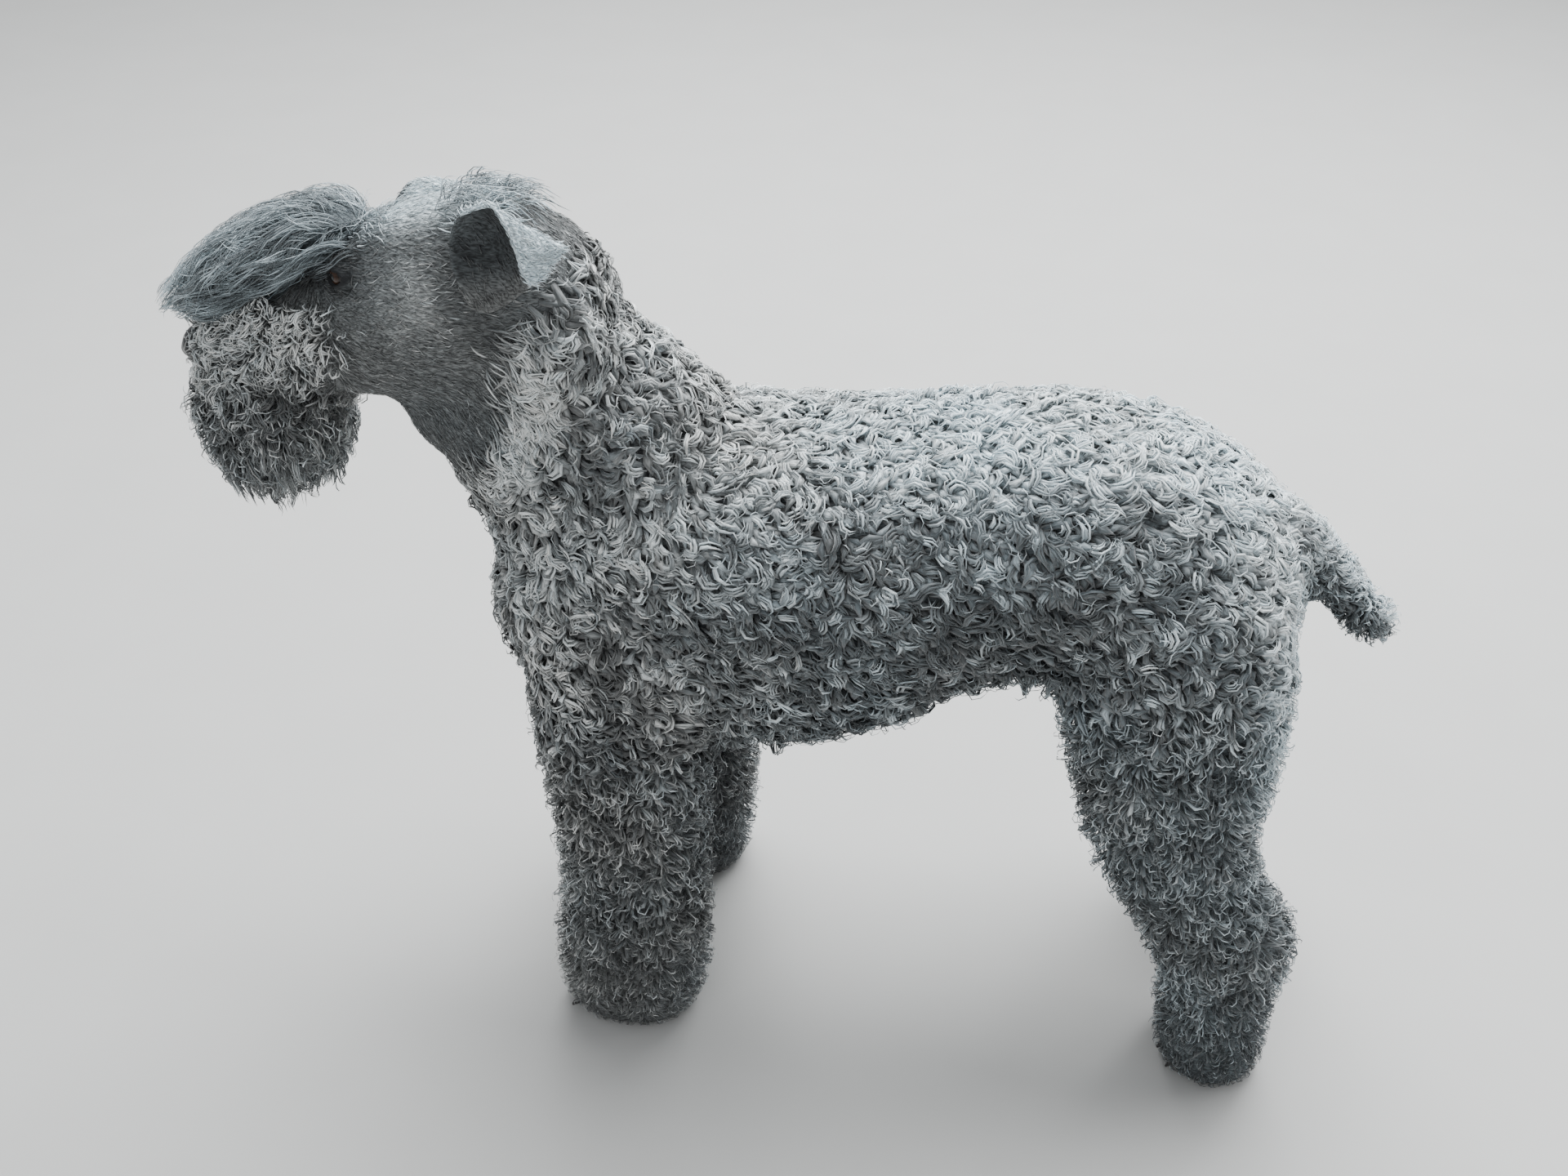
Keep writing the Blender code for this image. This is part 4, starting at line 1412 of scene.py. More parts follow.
class DOG_OT_claws(bpy.types.Operator):
    """Make four dark claws on each foot"""
    bl_idname = "dog.claws"
    bl_label = "Claws"

    def execute(self, context):
        material = claw_material()
        claw, faces = self.claw()
        faces = faces[None] + (np.arange(len(CLAW_SHARES)) * len(claw))[:, None, None]
        setback = CLAW_SETBACK - CLAW_BOW * (1 - ((CLAW_SHARES - 0.5) / 0.42) ** 2)
        for node in ("forepaw_left", "forepaw_right", "hindpaw_left", "hindpaw_right"):
            low, high = (np.array(corner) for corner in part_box(node))
            start = np.stack([low[0] + setback, low[1] + CLAW_SHARES * (high - low)[1],
                              np.full(len(CLAW_SHARES), CLAW_HEIGHT)], axis=1)
            points = (start[:, None] + claw[None]).reshape(-1, 3)
            points[:, 2] = np.maximum(points[:, 2], CLAW_GAP)
            settle("claws_" + node, mesh_from("claws", points, faces.reshape(-1, 3)), material,
                   "nose_pad")
        return {"FINISHED"}

    @staticmethod
    def claw():
        """A curved cone: rings shrink along an arc that runs forward and bends down."""
        s = np.linspace(0, 1, CLAW_RINGS + 1)
        arc = np.radians(12 + 55 * s)
        none = np.zeros_like(arc)
        step = np.stack([-np.cos(arc), none, -np.sin(arc)], axis=1) * CLAW_LENGTH / CLAW_RINGS
        spine = np.cumsum(step, axis=0) - step[0]
        upward = np.stack([-np.sin(arc), none, np.cos(arc)], axis=1)
        radius = CLAW_THICK * np.sqrt(1 - s ** 1.6 * 0.995)
        turn = once_round(CLAW_SIDES)[None, :, None]
        ring = spine[:, None] + radius[:, None, None] * (
            np.cos(turn) * np.array((0, 0.75, 0)) + np.sin(turn) * upward[:, None])
        return closed_rings(ring, spine[[0, -1]])


# The ear that is thrown back, in head axes. One row per line round the ear from its
# root to its peak; each row runs from the front rim over the hollow to the crease,
# the sixth point, and over the flap to its free edge.
THROWN_EAR = np.array([
    [(.0356, .0520, .0130), (.0300, .0520, .0095), (.0225, .0525, .0085), (.0130, .0530, .0110),
     (.0000, .0550, .0165), (-.0138, .0655, .0235), (-.0150, .0650, .0240),
     (-.0162, .0640, .0247), (-.0175, .0625, .0255)],
    [(.0375, .0530, .0290), (.0310, .0535, .0280), (.0220, .0535, .0270), (.0090, .0540, .0270),
     (-.0035, .0590, .0285), (-.0108, .0690, .0310), (-.0140, .0680, .0312),
     (-.0185, .0645, .0310), (-.0238, .0600, .0301)],
    [(.0360, .0550, .0430), (.0300, .0540, .0435), (.0200, .0535, .0435), (.0080, .0545, .0430),
     (-.0040, .0600, .0425), (-.0127, .0730, .0418), (-.0165, .0715, .0415),
     (-.0245, .0650, .0395), (-.0333, .0580, .0374)],
    [(.0300, .0580, .0560), (.0240, .0545, .0565), (.0147, .0530, .0565), (.0050, .0545, .0560),
     (-.0040, .0610, .0560), (-.0125, .0735, .0550), (-.0155, .0720, .0530),
     (-.0215, .0665, .0490), (-.0275, .0600, .0450)],
    [(.0224, .0600, .0645), (.0180, .0570, .0645), (.0110, .0560, .0650), (.0040, .0580, .0655),
     (-.0020, .0630, .0655), (-.0095, .0715, .0640), (-.0115, .0705, .0628),
     (-.0145, .0680, .0600), (-.0175, .0640, .0560)],
    [(.0150, .0615, .0682), (.0110, .0618, .0690), (.0070, .0622, .0698), (.0030, .0630, .0704),
     (-.0010, .0645, .0708), (-.0055, .0680, .0690), (-.0070, .0685, .0680),
     (-.0085, .0680, .0665), (-.0100, .0665, .0640)],
])
CREASE = 5                  # number of the crease in a row
EAR_THICK = 0.0022          # thickness of an ear, and depth of the hair on it


def through(rows, steps):
    """Cubic curves through every row, after Catmull and Rom."""
    t = np.linspace(0, len(rows) - 1, (len(rows) - 1) * steps + 1)
    k = np.minimum(t.astype(int), len(rows) - 2)
    f = (t - k).reshape((-1,) + (1,) * (rows.ndim - 1))
    ends = np.concatenate([2 * rows[:1] - rows[1:2], rows, 2 * rows[-1:] - rows[-2:-1]])
    a, b, c, d = (ends[k + step] for step in range(4))
    return 0.5 * (2 * b + (c - a) * f + (2 * a - 5 * b + 4 * c - d) * f ** 2
                  + (3 * b - a - 3 * c + d) * f ** 3)


def sheet_mesh(name, grid, thick):
    """A closed sheet: a grid, its copy a thickness behind it, and a rim between them.

    Also gives the places across and along the grid for each point.
    """
    m, n = grid.shape[:2]
    out = unit(np.cross(np.gradient(grid, axis=1), np.gradient(grid, axis=0)))
    if (out @ LEFTWARDS).mean() < 0:
        out = -out
    v, u = np.meshgrid(np.linspace(0, 1, m), np.linspace(0, 1, n), indexing="ij")
    rim = np.minimum(np.minimum(u, 1 - u), np.minimum(v, 1 - v))
    back = grid - out * (thick * (0.35 + 0.65 * np.sqrt(np.clip(rim / 0.08, 0, 1))))[..., None]
    index = np.arange(m * n).reshape(m, n)
    front = cells(index)
    edge = np.concatenate([index[0, :], index[1:, -1], index[-1, -2::-1], index[-2:0:-1, 0]])
    ahead = np.roll(edge, -1)
    rear = m * n
    faces = np.concatenate([front, front[:, ::-1] + rear,
                            np.stack([edge, edge + rear, ahead + rear], -1),
                            np.stack([edge, ahead + rear, ahead], -1)])
    first = grid.reshape(-1, 3)[front[0]]
    if np.cross(first[1] - first[0], first[2] - first[0]) @ out[0, 0] < 0:
        faces = faces[:, ::-1]
    points = np.concatenate([grid.reshape(-1, 3), back.reshape(-1, 3)])
    return mesh_from(name, points, faces), np.tile(u.ravel(), 2), np.tile(v.ravel(), 2)


class DOG_OT_ears(bpy.types.Operator):
    """Make both ears and the short hair on them"""
    bl_idname = "dog.ears"
    bl_label = "Ears"

    def execute(self, context):
        finish = skin_material("ear_skin")
        hair = coat_material("ear_hair", context.scene.dog_coat, strands=5.0)
        for node, mesh, seed, longest in (("ear_left", self.thrown_ear(), 31, 0.0062),
                                          ("ear_right", self.folded_ear(), 32, 0.0055)):
            settle(node + "_skin", mesh, finish, "ear_coat", node)
            fur = Grower((middle_of(node), UPWARDS, LEFTWARDS), seed)
            roots = scatter(mesh, 0.00165, fur.rng)
            dim = ramp(1 - roots.marks[:, 0], 0.45, 0.80)
            roots = roots.keep(fur.rng.random(len(roots)) > 0.85 * dim)
            fur.tufts(roots, roots.marks[:, 0], length=(0.0030, longest), rings=3, spread=0.30,
                      lift=0.22, contrast=0.14, shade_along=([0, 0.4, 1], [0.72, 1.0, 1.12]),
                      flat=0.6, tint=roots.marks[:, 1], vary=0.1)
            fur.piece(node + "_hair", hair, "ear_coat")
        return {"FINISHED"}

    @staticmethod
    def thrown_ear():
        """The left ear: a dark hollow, partly the ear's own dark colour and partly painted shade;
        a pale rim and a nearly white flap, partly pale hair and partly painted light.
        """
        hollow = through(THROWN_EAR[:, :CREASE + 1].transpose(1, 0, 2), 8)
        flap = through(THROWN_EAR[:, CREASE:].transpose(1, 0, 2), 8)
        rows = np.concatenate([hollow, flap[1:]]).transpose(1, 0, 2)
        mesh, u, v = sheet_mesh("ear_left", from_head(through(rows, 10)), EAR_THICK)
        crease = CREASE / (THROWN_EAR.shape[1] - 1)
        points, triangles = corners_of(mesh)
        # painted shade in the ear's hollow over its own dark colour; the rim and flap are pale,
        # partly painted light
        inside = (1 - ramp(u, crease - 0.070, crease - 0.045)) * (1 - ramp(v, 0.88, 0.92))
        hollow_shade = 0.05 + 0.16 * (1 - ramp(u, 0.12, 0.42)) * ramp(v, 0.40, 0.80)
        hollow_shade += 0.30 * (1 - ramp(v, 0.06, 0.30)) + 0.10 * (1 - ramp(u, 0.0, 0.12))
        pale = 1.0 - 0.22 * ramp(v, 0.55, 0.95) * ramp(u, crease + 0.06, 0.95)
        shade = inside * hollow_shade + (1 - inside) * pale + 0.04 * wander(points, 0.008, 3)
        warm = 0.15 + inside * (0.35 + 0.5 * (1 - ramp(v, 0.06, 0.35)))
        lie = np.where((u > crease - 0.02)[:, None], -0.75 * NOSEWARDS - 0.45 * UPWARDS,
                       UPWARDS + 0.2 * NOSEWARDS)
        mark(mesh, along_skin(lie, normals_of(points, triangles)), EAR_THICK,
             np.clip(shade, 0.02, 1), warm)
        return mesh

    @staticmethod
    def folded_ear():
        """The right ear: carried up, folded forward and pale, with painted shade on its front
        facet.
        """
        mesh = soft_copy("ear_right", ("ear_right",), swell=0.0, cell=0.0012, passes=3)
        points, triangles = corners_of(mesh)
        normals = normals_of(points, triangles)
        # painted shade on the facet that faces forward
        front = np.maximum(ramp(normals @ NOSEWARDS, 0.10, 0.50),
                           ramp(to_head(points)[:, 0], 0.092, 0.096)
                           * ramp(normals @ LEFTWARDS, 0.0, 0.4))
        lie = 0.7 * NOSEWARDS - 0.2 * LEFTWARDS - 0.35 * UPWARDS
        mark(mesh, along_skin(np.tile(lie, (len(points), 1)), normals), EAR_THICK,
             0.96 - 0.74 * front, 0.2)
        return mesh


WAIST = 0.06                # where the ribs' pieces meet the rump's


class DOG_OT_body_coat(bpy.types.Operator):
    """Make the curls of trunk, neck and tail"""
    bl_idname = "dog.body_coat"
    bl_label = "Body coat"

    def execute(self, context):
        material = coat_material("curly_hair", context.scene.dog_coat)
        line = ((WAIST, 0.0, 0.36), (1, 0, 0), (0, 0, 1))
        for name, half, side, seed in (("coat_ribs_left", -1, -1, 61),
                                       ("coat_ribs_right", -1, 1, 62),
                                       ("coat_rump_left", 1, -1, 63),
                                       ("coat_rump_right", 1, 1, 64)):
            furry_piece(name, lambda at, half=half, side=side: (
                (part_of(at) == TRUNK) & ((at[:, 0] - WAIST) * half > 0)
                & (at[:, 1] * side > 0)), line, seed, material)
        line = ((-0.14, -0.02, 0.46), SHOULDER_PLANE[1], (0.6, 0, 0.5))
        furry_piece("coat_neck", lambda at: (part_of(at) == NECK) * (1 - clipped(at)), line,
                    65, material)
        line = (middle_of("tail"), (0.62, 0, -0.78), (0.78, 0, 0.62))
        furry_piece("coat_tail", lambda at: part_of(at) == TAIL, line, 66, material,
                    size=0.62, gap=0.66, wispy=1.2)
        return {"FINISHED"}


class DOG_OT_leg_coat(bpy.types.Operator):
    """Make the dense coat of the four legs and feet"""
    bl_idname = "dog.leg_coat"
    bl_label = "Leg coat"

    def execute(self, context):
        material = coat_material("leg_hair", context.scene.dog_coat)
        for name, part, side, seed in (("foreleg_left", FORELEG, -1, 71),
                                       ("foreleg_right", FORELEG, 1, 72),
                                       ("hindleg_left", HINDLEG, -1, 73),
                                       ("hindleg_right", HINDLEG, 1, 74)):
            furry_piece("coat_" + name, lambda at, part=part, side=side: (
                (part_of(at) == part) & (at[:, 1] * side > 0)),
                (middle_of(name), (0, 0, 1), (0, side, 0)), seed, material, size=0.68,
                gap=1.09, spread=1.2, turn=1.9, wispy=1.5, silver=0.03, broad=0.75,
                members=2, contrast=0.08, rings=3)
        return {"FINISHED"}


class DOG_OT_head_coat(bpy.types.Operator):
    """Make the short clipped coat of skull, cheeks and throat"""
    bl_idname = "dog.head_coat"
    bl_label = "Head coat"

    def execute(self, context):
        coat, face = context.scene.dog_coat, context.scene.dog_face
        skin = need("skin")
        fur = Grower((HEAD_ORIGIN, NOSEWARDS, UPWARDS), 13)
        roots = scatter(skin, coat.short_spacing, fur.rng, self.cover)
        roots = roots.keep(near_openings(roots.points, face) < 0.3)
        fur.tufts(roots, base_shade(roots.points, roots.normals), length=(0.0050, 0.0095),
                  rings=2, spread=0.25, lift=0.16, contrast=0.20,
                  shade_along=([0, 0.5, 1], [0.86, 1.0, 1.08]), flat=0.5, silver=0.05)
        self.crest(skin, fur)
        self.band(skin, fur)
        self.brows(skin, fur)
        fur.piece("coat_head", coat_material("clipped_hair", coat, 4.0, 0.6), "face_coat")
        return {"FINISHED"}

    @staticmethod
    def cover(at):
        """Clipped coat on head and neck, none where the beard and forelock grow."""
        part = part_of(at)
        short = np.where(part == HEAD, 1.0, clipped(at)) * np.isin(part, (HEAD, NECK, TRUNK))
        return short * (1 - 0.9 * ramp(to_head(at)[:, 0], 0.165, 0.185))

    @staticmethod
    def crest(skin, fur):
        """Long soft pale hairs that stand up between and behind the ears."""
        def where(at):
            along, aside, rise = to_head(at).T
            return (ramp(rise, 0.045, 0.058) * ramp(along, -0.050, -0.030)
                    * (1 - ramp(along, 0.030, 0.055)) * (abs(aside) < 0.045))

        fur.hairs(scatter(skin, 0.0027, fur.rng, where, 0.0125), rings=4,
                  width=(0.0003, 0.0007), flat=0.6, tint=0.1, vary=0.1, silver=0.1,
                  contrast=0.18, tone=lambda at, _: 0.66 + 0.16 * wander(at, 0.02, 9),
                  length=0.022, turn=0.9, spread=0.5, rise=(0.55, 1.2), dip=0.10)

    @staticmethod
    def band(skin, fur):
        """Straight combed hair where the clipped cheek gives way to the curls."""
        def where(at):
            x, _, z = at.T
            return bell(x, clip_line(z) + 0.004, 0.014) * ramp(z, 0.40, 0.45) * (z < 0.575)

        roots = scatter(skin, 0.0030, fur.rng, where)
        roots.depth = np.maximum(roots.depth, 0.005)
        fur.hairs(roots, rings=4, width=(0.0004, 0.0009), flat=0.5, silver=0.15,
                  tone=lambda at, normals: base_shade(at, normals) + 0.16, length=0.021,
                  turn=0.7, spread=0.35, rise=(0.70, 1.05), dip=0.5)

    @staticmethod
    def brows(skin, fur):
        """Pale tufts over and behind each eye, pointing back, down and outwards."""
        def where(at):
            along, _, rise = to_head(at).T
            return (part_of(at) == HEAD) * bell(along, 0.099, 0.010) * bell(rise, 0.065, 0.007)

        roots = scatter(skin, 0.0021, fur.rng, where, 0.0045)
        side = np.sign(to_head(roots.points)[:, 1:2])
        roots.lie = along_skin((np.array((0.0, 0.35, 0.0)) * side
                                + (-0.6, 0.0, -0.55)) @ HEAD_AXES, roots.normals)
        fur.hairs(roots, rings=3, width=(0.00025, 0.0005), flat=0.6, tint=0.1, vary=0.1,
                  silver=0.2, tone=lambda at, _: fur.rng.uniform(0.45, 0.95, len(at)),
                  length=0.015, turn=0.7, spread=0.30, rise=(0.5, 1.2), dip=0.3)


# ---------------------------------------------------------- beard and forelock
def core_piece(node, rows, flow, tone, depth):
    """A core for long hair: rings of a superellipse carried along the head's long axis.

    Each row holds a place along, the centre's rise, and half height and half width;
    cubic curves join the rows. The core's own shade is dim.
    """
    rows = through(np.array(rows), 6)
    turn = once_round(40)
    aside, rise = (np.sign(wave) * abs(wave) ** 0.85 for wave in (np.cos(turn), np.sin(turn)))
    along, centre, high, wide = (rows[:, k, None] for k in range(4))
    grid = np.stack([along + 0 * turn, wide * aside, centre + high * rise], axis=-1)
    ends = np.array([(rows[0, 0] - 0.004, 0, rows[0, 1]), (rows[-1, 0] + 0.004, 0, rows[-1, 1])])
    mesh = mesh_from(node + "_core", *closed_rings(from_head(grid), from_head(ends)))
    points, triangles = corners_of(mesh)
    normals = normals_of(points, triangles)
    mark(mesh, along_skin(flow(to_head(points)), normals), depth, tone(points, normals) * 0.65,
         warmth(points))
    return settle(node + "_core", mesh, skin_material(node + "_undercoat"), node + "_coat",
                  node)


BEARD_FOOT = 0.100          # how far the beard hangs below the head's long axis
FALL_TIP = 0.258            # how far along the head the forelock reaches
# Rows of both cores: place along the head, centre's rise, half height, half width.
BEARD_ROWS = ((0.177, -0.038, 0.018, 0.018), (0.188, -0.039, 0.034, 0.029),
              (0.203, -0.040, 0.039, 0.035), (0.221, -0.040, 0.040, 0.036),
              (0.240, -0.038, 0.037, 0.031), (0.253, -0.035, 0.027, 0.019))
# Patches on beard and whiskers, in head axes along and up: dark at mid-height, pale at the
# rear edge, pale under the nose, painted shade in the brow's hollow under the forelock.
BEARD_PATCHES = ((-0.18, (0.182, 0.018), (-0.024, 0.015)), (0.14, (0.166, 0.014), (-0.064, 0.016)),
                 (0.12, (0.244, 0.014), (0.002, 0.014)), (-0.16, (0.143, 0.030), (0.040, 0.012)))
FORELOCK_ROWS = ((0.113, 0.0660, 0.004, 0.014), (0.122, 0.0680, 0.007, 0.022),
                 (0.138, 0.0665, 0.010, 0.029), (0.165, 0.0615, 0.0145, 0.031),
                 (0.195, 0.0550, 0.015, 0.030), (0.218, 0.0485, 0.012, 0.024),
                 (0.234, 0.0435, 0.007, 0.013))
# Height of the forelock's lower edge at places along the head.
FORELOCK_EDGE = ([0.10, 0.13, 0.16, 0.20, 0.25], [0.070, 0.062, 0.052, 0.042, 0.030])


class DOG_OT_beard(bpy.types.Operator):
    """Make the whiskers and beard"""
    bl_idname = "dog.beard"
    bl_label = "Beard"

    def execute(self, context):
        core = core_piece("beard", BEARD_ROWS, self.flow, self.tone, 0.0115)
        skin = need("skin")
        fur = Grower((middle_of("beard"), NOSEWARDS, UPWARDS), 41, self.tone)

        def on_core(spacing, depth):
            return scatter(core.data, spacing, fur.rng, self.bare_nose, depth)

        def on_muzzle(spacing, depth):
            return scatter(skin, spacing, fur.rng, self.whiskers, depth)

        fur.fleece(on_core(spacing=0.0036, depth=0.0100), size=0.70, spread=1.0, broad=0.6)
        fur.crescents(on_core(spacing=0.0086, depth=0.0112), size=0.90, spread=1.1, turn=3.1,
                      silver=0.34)
        fur.wisps(on_core(spacing=0.0035, depth=0.0115), size=0.95)
        fur.fleece(on_muzzle(spacing=0.0028, depth=0.0080), size=0.5, spread=1.1, broad=0.55)
        fur.crescents(on_muzzle(spacing=0.0062, depth=0.0100), size=0.75, spread=1.3, turn=3.3,
                      silver=0.60, members=2)
        fur.wisps(on_muzzle(spacing=0.0030, depth=0.0090), size=0.75)
        self.fringe(core, fur, context.scene.dog_face.beard_length)
        self.feelers(core, fur)
        material = coat_material("beard_hair", context.scene.dog_coat, 6.0, 0.48)
        fur.piece("beard_hair", material, "beard_coat")
        return {"FINISHED"}

    @staticmethod
    def flow(head):
        """Down, a little forward, and outwards on the sides."""
        way = np.sign(head[:, 1:2]) * (0.0, 0.12, 0.0) + (0.10, 0.0, -1.0)
        return unit(way @ HEAD_AXES)

    @staticmethod
    def tone(at, _):
        """Bright whiskers under the eye and nose, a dimmer beard, and painted shade down its front
        and in the brow's hollow.
        """
        along, _, rise = to_head(at).T
        shade = 0.385 + 0.14 * wander(at, 0.016, 21) + 0.44 * ramp(rise, -0.035, 0.015)
        shade += 0.06 * bell(along, 0.185, 0.02) * ramp(-rise, 0.04, 0.08)
        shade += patches(along, rise, BEARD_PATCHES)
        shade -= 0.12 * (1 - ramp(along, 0.135, 0.165)) * (rise < 0.03)
        # painted shade down the beard's front, below the nose
        shade -= 0.20 * ramp(along, 0.250, 0.262) * ramp(-rise, -0.005, 0.01)
        return np.clip(shade, 0.05, 1)

    @staticmethod
    def bare_nose(at):
        """Where the core's curls grow: all of it but under the nose pad."""
        along, _, rise = to_head(at).T
        return 1.0 - (along > 0.236) * (rise > -0.015)

    @staticmethod
    def whiskers(at):
        """Where whiskers grow: the muzzle's sides below the brow's hollow."""
        along, _, rise = to_head(at).T
        upper = 0.022 + 0.014 * ramp(along, 0.165, 0.200) - 0.018 * ramp(along, 0.228, 0.240)
        start = 0.118 + 0.022 * ramp(-rise, 0.0, 0.02)
        grows = (part_of(at) == HEAD) * ramp(along, start, start + 0.045) * (along < 0.244)
        return grows * (1 - ramp(rise, upper, upper + 0.008)) * (rise > -0.045)

    def fringe(self, core, fur, longest):
        """Long soft locks that hang from the beard's lower half."""
        rng, rings, members = fur.rng, 5, 4
        roots = scatter(core.data, 0.0056, rng,
                        lambda at: ramp(-to_head(at)[:, 2], 0.030, 0.060) + 0.05)
        count = len(roots)
        length = longest * rng.uniform(0.22, 0.48, count)
        room = BEARD_FOOT + to_head(roots.points)[:, 2] + rng.normal(0, 0.003, count)
        length = np.clip(length, 0.006, np.maximum(room, 0.007))
        lines, ups, width = fur.strands(
            roots, core, self.flow, lambda head: head[:, 2] < -0.058, length, rings,
            width=(0.00035, 0.00085), members=members, pitch=0.0013,
            height=rng.uniform(0.003, 0.011, count), wave=0.0035, waves=1.1)
        shade = lock_shades(self.tone(roots.points, roots.normals) + 0.04, rings, members, rng)
        at = lines[:, 0]
        fur.add(lines, ups, width, shade, fur.tints(at), at, 0.55)

    def feelers(self, core, fur):
        """A few thin dark hairs at the beard's lower front."""
        rng = fur.rng
        roots = scatter(core.data, 0.0105, rng, lambda at: (
            ramp(-to_head(at)[:, 2], 0.045, 0.065) * ramp(to_head(at)[:, 0], 0.220, 0.240)))
        lines, ups, width = fur.strands(
            roots, core, self.flow, lambda head: head[:, 2] < -0.050,
            rng.uniform(0.024, 0.034, len(roots)), rings=6, width=(0.00035, 0.0005),
            members=2, pitch=0.0020, height=np.full(len(roots), 0.006), wave=0.006, waves=0.6)
        fur.add(lines, ups, width, np.full(lines.shape[:2], 0.03), np.full(len(lines), 0.3),
                lines[:, 0], 0.8)


class DOG_OT_forelock(bpy.types.Operator):
    """Make the forelock that falls from brow to nose"""
    bl_idname = "dog.forelock"
    bl_label = "Forelock"

    def execute(self, context):
        core = core_piece("forelock", FORELOCK_ROWS, self.flow, self.tone, 0.010)
        fur = Grower((middle_of("forelock"), NOSEWARDS, UPWARDS), 42, self.tone)
        longest = context.scene.dog_face.forelock_length
        self.locks(core, scatter(core.data, 0.0056, fur.rng), fur, longest, lift=0.010)
        self.locks(core, self.brow(fur.rng), fur, longest * 0.75, lift=0.006)
        fur.hairs(scatter(core.data, 0.0029, fur.rng, depth=0.0095), rings=4,
                  width=(0.00018, 0.00034), flat=0.8, tint=0.02, vary=0.06, silver=0.12,
                  tone=lambda at, normals: self.tone(at, normals) + 0.06, length=0.026,
                  turn=1.0, spread=0.55, rise=(0.6, 1.2), dip=0.1)
        material = coat_material("forelock_hair", context.scene.dog_coat, 5.0, 0.50)
        fur.piece("forelock_hair", material, "forelock_coat")
        return {"FINISHED"}

    @staticmethod
    def flow(head):
        """Forward over the muzzle, spreading and drooping more at the sides."""
        along, aside, _ = head.T
        side = np.clip(aside / 0.034, -1, 1)
        over = ramp(along, 0.205, 0.245)
        way = np.stack([np.ones_like(over), 0.20 * side * (1 - over),
                        -0.10 - 0.20 * abs(side) - 0.05 * over], axis=1)
        return unit(way @ HEAD_AXES)

    @staticmethod
    def free(head):
        """Past the front of the core, or below its lower edge at the sides."""
        along, aside, rise = head.T
        edge = np.interp(along, *FORELOCK_EDGE)
        return (along > 0.232) | ((rise < edge) & (abs(aside) > 0.020))

    @staticmethod
    def tone(at, normals):
        """Paler towards the nose and over the brow, and paler where the hair faces up, which is
        painted light.
        """
        along, _, rise = to_head(at).T
        shade = 0.43 + 0.13 * wander(at, 0.018, 22) + 0.34 * ramp(along, 0.185, 0.235)
        shade += 0.22 * bell(along, 0.143, 0.02) * bell(rise, 0.060, 0.006)
        # painted light: paler where the hair faces up
        return np.clip(shade + 0.14 * ramp(normals[:, 2], 0.3, 0.9), 0.05, 1)

    @staticmethod
    def brow(rng):
        """Roots on the skin of the brow, in front of and over the eyes."""
        def where(at):
            along, aside, rise = to_head(at).T
            return ((part_of(at) == HEAD) * bell(along, 0.118, 0.010) * ramp(rise, 0.045, 0.052)
                    * (1 - ramp(abs(aside), 0.024, 0.033)))

        roots = scatter(need("skin"), 0.0027, rng, where)
        roots.lie = unit(NOSEWARDS + 1.2 * roots.normals)
        return roots

    def locks(self, core, roots, fur, longest, lift):
        """Long wavy locks combed forward, of fine strands, that end short of the fall's tip."""
        rng, rings, members, count = fur.rng, 6, 5, len(roots)
        roots.lie = turned(roots.lie, roots.normals, rng.normal(0, 0.35, count))
        length = longest * rng.uniform(0.50, 1.15, count)
        along, _, rise = to_head(roots.points).T
        landing = rise - 0.22 * (FALL_TIP - along)
        ahead = FALL_TIP - along - np.interp(landing, [0.018, 0.032, 0.044], [0.026, 0.012, 0.0])
        length = np.clip(length, 0.010, np.maximum(ahead, 0.008) * rng.uniform(0.85, 1.05))
        lines, ups, width = fur.strands(
            roots, core, self.flow, self.free, length, rings, width=(0.00025, 0.00055),
            members=members, pitch=0.0012, height=rng.uniform(0.15, 1.25, count) * lift,
            wave=0.0024, waves=0.9, stray=0.0030)
        shade = fur.shades(roots, rings, members, contrast=0.24)
        at = lines[:, 0]
        fur.add(lines, ups, width, shade, fur.tints(at, 0.02, 0.06), at, 0.5)


# --------------------------------------------------------------------- stage
CAMERA_PLACE = (0.110, -0.942, 1.040)
CAMERA_AHEAD = (-0.1049, 0.7970, -0.5948)
CAMERA_LENS, CAMERA_SENSOR = 39.4, 36.0     # millimetres
FLOOR_HALF, FLOOR_LINES, FLOOR_LEVEL = 8.0, 33, -0.0002
BACKDROP, BACKDROP_STRENGTH = (0.90, 0.93, 0.96, 1.0), 0.50


def facing(way):
    """Turns of a light or camera that looks a way."""
    return Vector(way).to_track_quat("-Z", "Y").to_euler()


def area_light(name, place, aim, size, power, colour=(1.0, 1.0, 1.0)):
    """A soft square light that faces a point."""
    data = bpy.data.lights.new(name, "AREA")
    data.energy, data.size, data.color = power, size, colour
    thing = placed(name, data)
    thing.location = place
    thing.rotation_euler = facing(Vector(aim) - Vector(place))


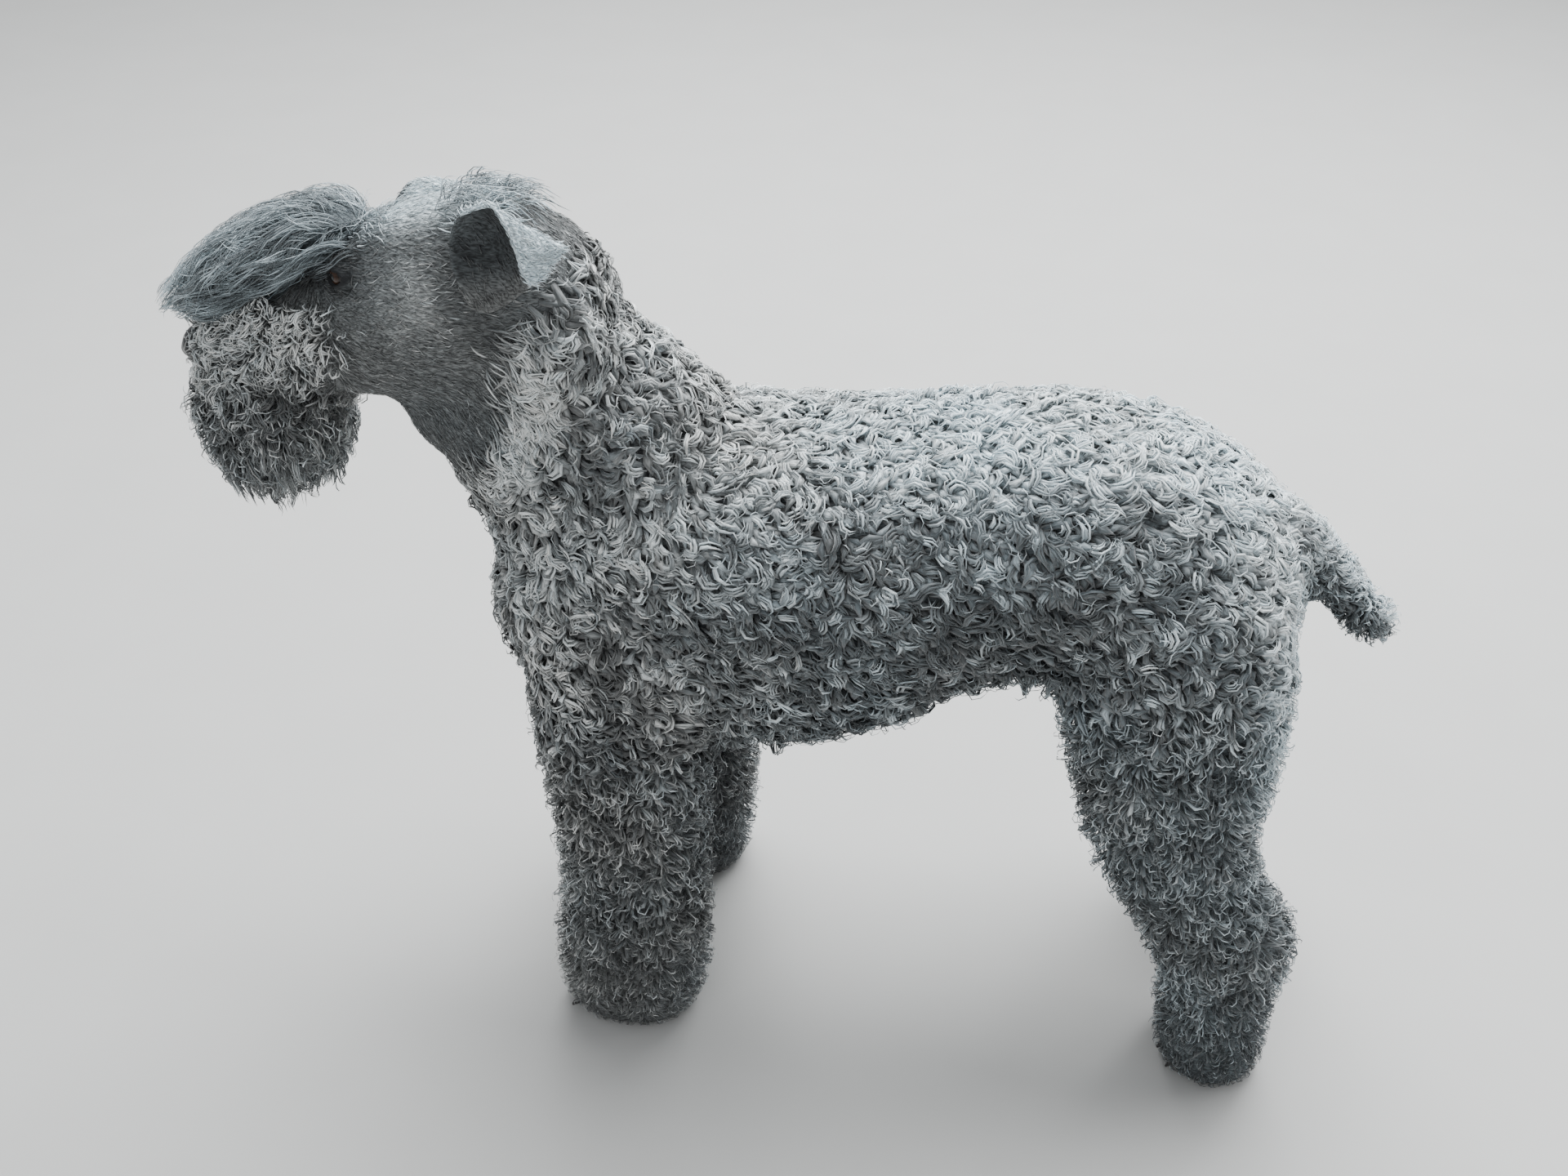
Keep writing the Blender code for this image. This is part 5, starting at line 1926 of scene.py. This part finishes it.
class DOG_OT_stage(bpy.types.Operator):
    """Make the floor, the lights and the camera"""
    bl_idname = "dog.stage"
    bl_label = "Stage"

    def execute(self, context):
        scene = context.scene
        settings = scene.dog_stage
        x, y = np.meshgrid(*(np.linspace(-FLOOR_HALF, FLOOR_HALF, FLOOR_LINES),) * 2)
        points = np.stack([x, y, np.full_like(x, FLOOR_LEVEL)], axis=-1).reshape(-1, 3)
        index = np.arange(FLOOR_LINES ** 2).reshape(FLOOR_LINES, FLOOR_LINES)
        floor = show("floor", mesh_from("floor", points, cells(index)),
                     floor_material(settings.floor))
        area_light("overhead", place=(0.25, 1.15, 2.5), aim=(0.0, 0.0, 0.35), size=2.4,
                   power=settings.sky_power, colour=(0.97, 0.99, 1.0))
        area_light("fill", place=(-0.7, -2.2, 1.5), aim=(-0.05, 0.0, 0.3), size=1.8,
                   power=settings.fill_power)
        area_light("rear", place=(2.0, 0.4, 1.4), aim=(0.15, 0.0, 0.35), size=1.2,
                   power=settings.fill_power)
        scene.world = bpy.data.worlds.new("pale studio")
        scene.world.use_nodes = True
        backdrop = scene.world.node_tree.nodes["Background"]
        backdrop.inputs["Color"].default_value = BACKDROP
        backdrop.inputs["Strength"].default_value = BACKDROP_STRENGTH
        camera = placed("camera", bpy.data.cameras.new("camera"))
        camera.data.lens, camera.data.sensor_width = CAMERA_LENS, CAMERA_SENSOR
        camera.data.clip_start = 0.01
        camera.location = CAMERA_PLACE
        camera.rotation_euler = facing(CAMERA_AHEAD)
        scene.camera = camera
        return {"FINISHED"}


STEPS = (DOG_OT_skin, DOG_OT_eyes, DOG_OT_nose, DOG_OT_claws, DOG_OT_ears, DOG_OT_body_coat,
         DOG_OT_leg_coat, DOG_OT_head_coat, DOG_OT_beard, DOG_OT_forelock, DOG_OT_stage)
GROUPS = (("dog_skin", SkinSettings), ("dog_coat", CoatSettings), ("dog_face", FaceSettings),
          ("dog_stage", StageSettings))


class DOG_PT_panel(bpy.types.Panel):
    """Sidebar panel with the dog's settings and pieces"""
    bl_idname = "DOG_PT_panel"
    bl_label = "Terrier"
    bl_space_type = "VIEW_3D"
    bl_region_type = "UI"
    bl_category = "Terrier"

    def draw(self, context):
        for group, settings in GROUPS:
            box = self.layout.box()
            for name in settings.__annotations__:
                box.prop(getattr(context.scene, group), name)
        for step in STEPS:
            self.layout.operator(step.bl_idname)


def register():
    """Make the settings, operators and panel known to Blender."""
    for group, settings in GROUPS:
        bpy.utils.register_class(settings)
        setattr(bpy.types.Scene, group, bpy.props.PointerProperty(type=settings))
    for step in (*STEPS, DOG_PT_panel):
        bpy.utils.register_class(step)


def unregister():
    """Take the panel, operators and settings away again."""
    for step in reversed((*STEPS, DOG_PT_panel)):
        bpy.utils.unregister_class(step)
    for group, settings in reversed(GROUPS):
        delattr(bpy.types.Scene, group)
        bpy.utils.unregister_class(settings)


def main():
    """Make every piece in order."""
    register()
    bpy.ops.dog.skin()
    bpy.ops.dog.eyes()
    bpy.ops.dog.nose()
    bpy.ops.dog.claws()
    bpy.ops.dog.ears()
    bpy.ops.dog.body_coat()
    bpy.ops.dog.leg_coat()
    bpy.ops.dog.head_coat()
    bpy.ops.dog.beard()
    bpy.ops.dog.forelock()
    bpy.ops.dog.stage()


if __name__ == "__main__":
    main()
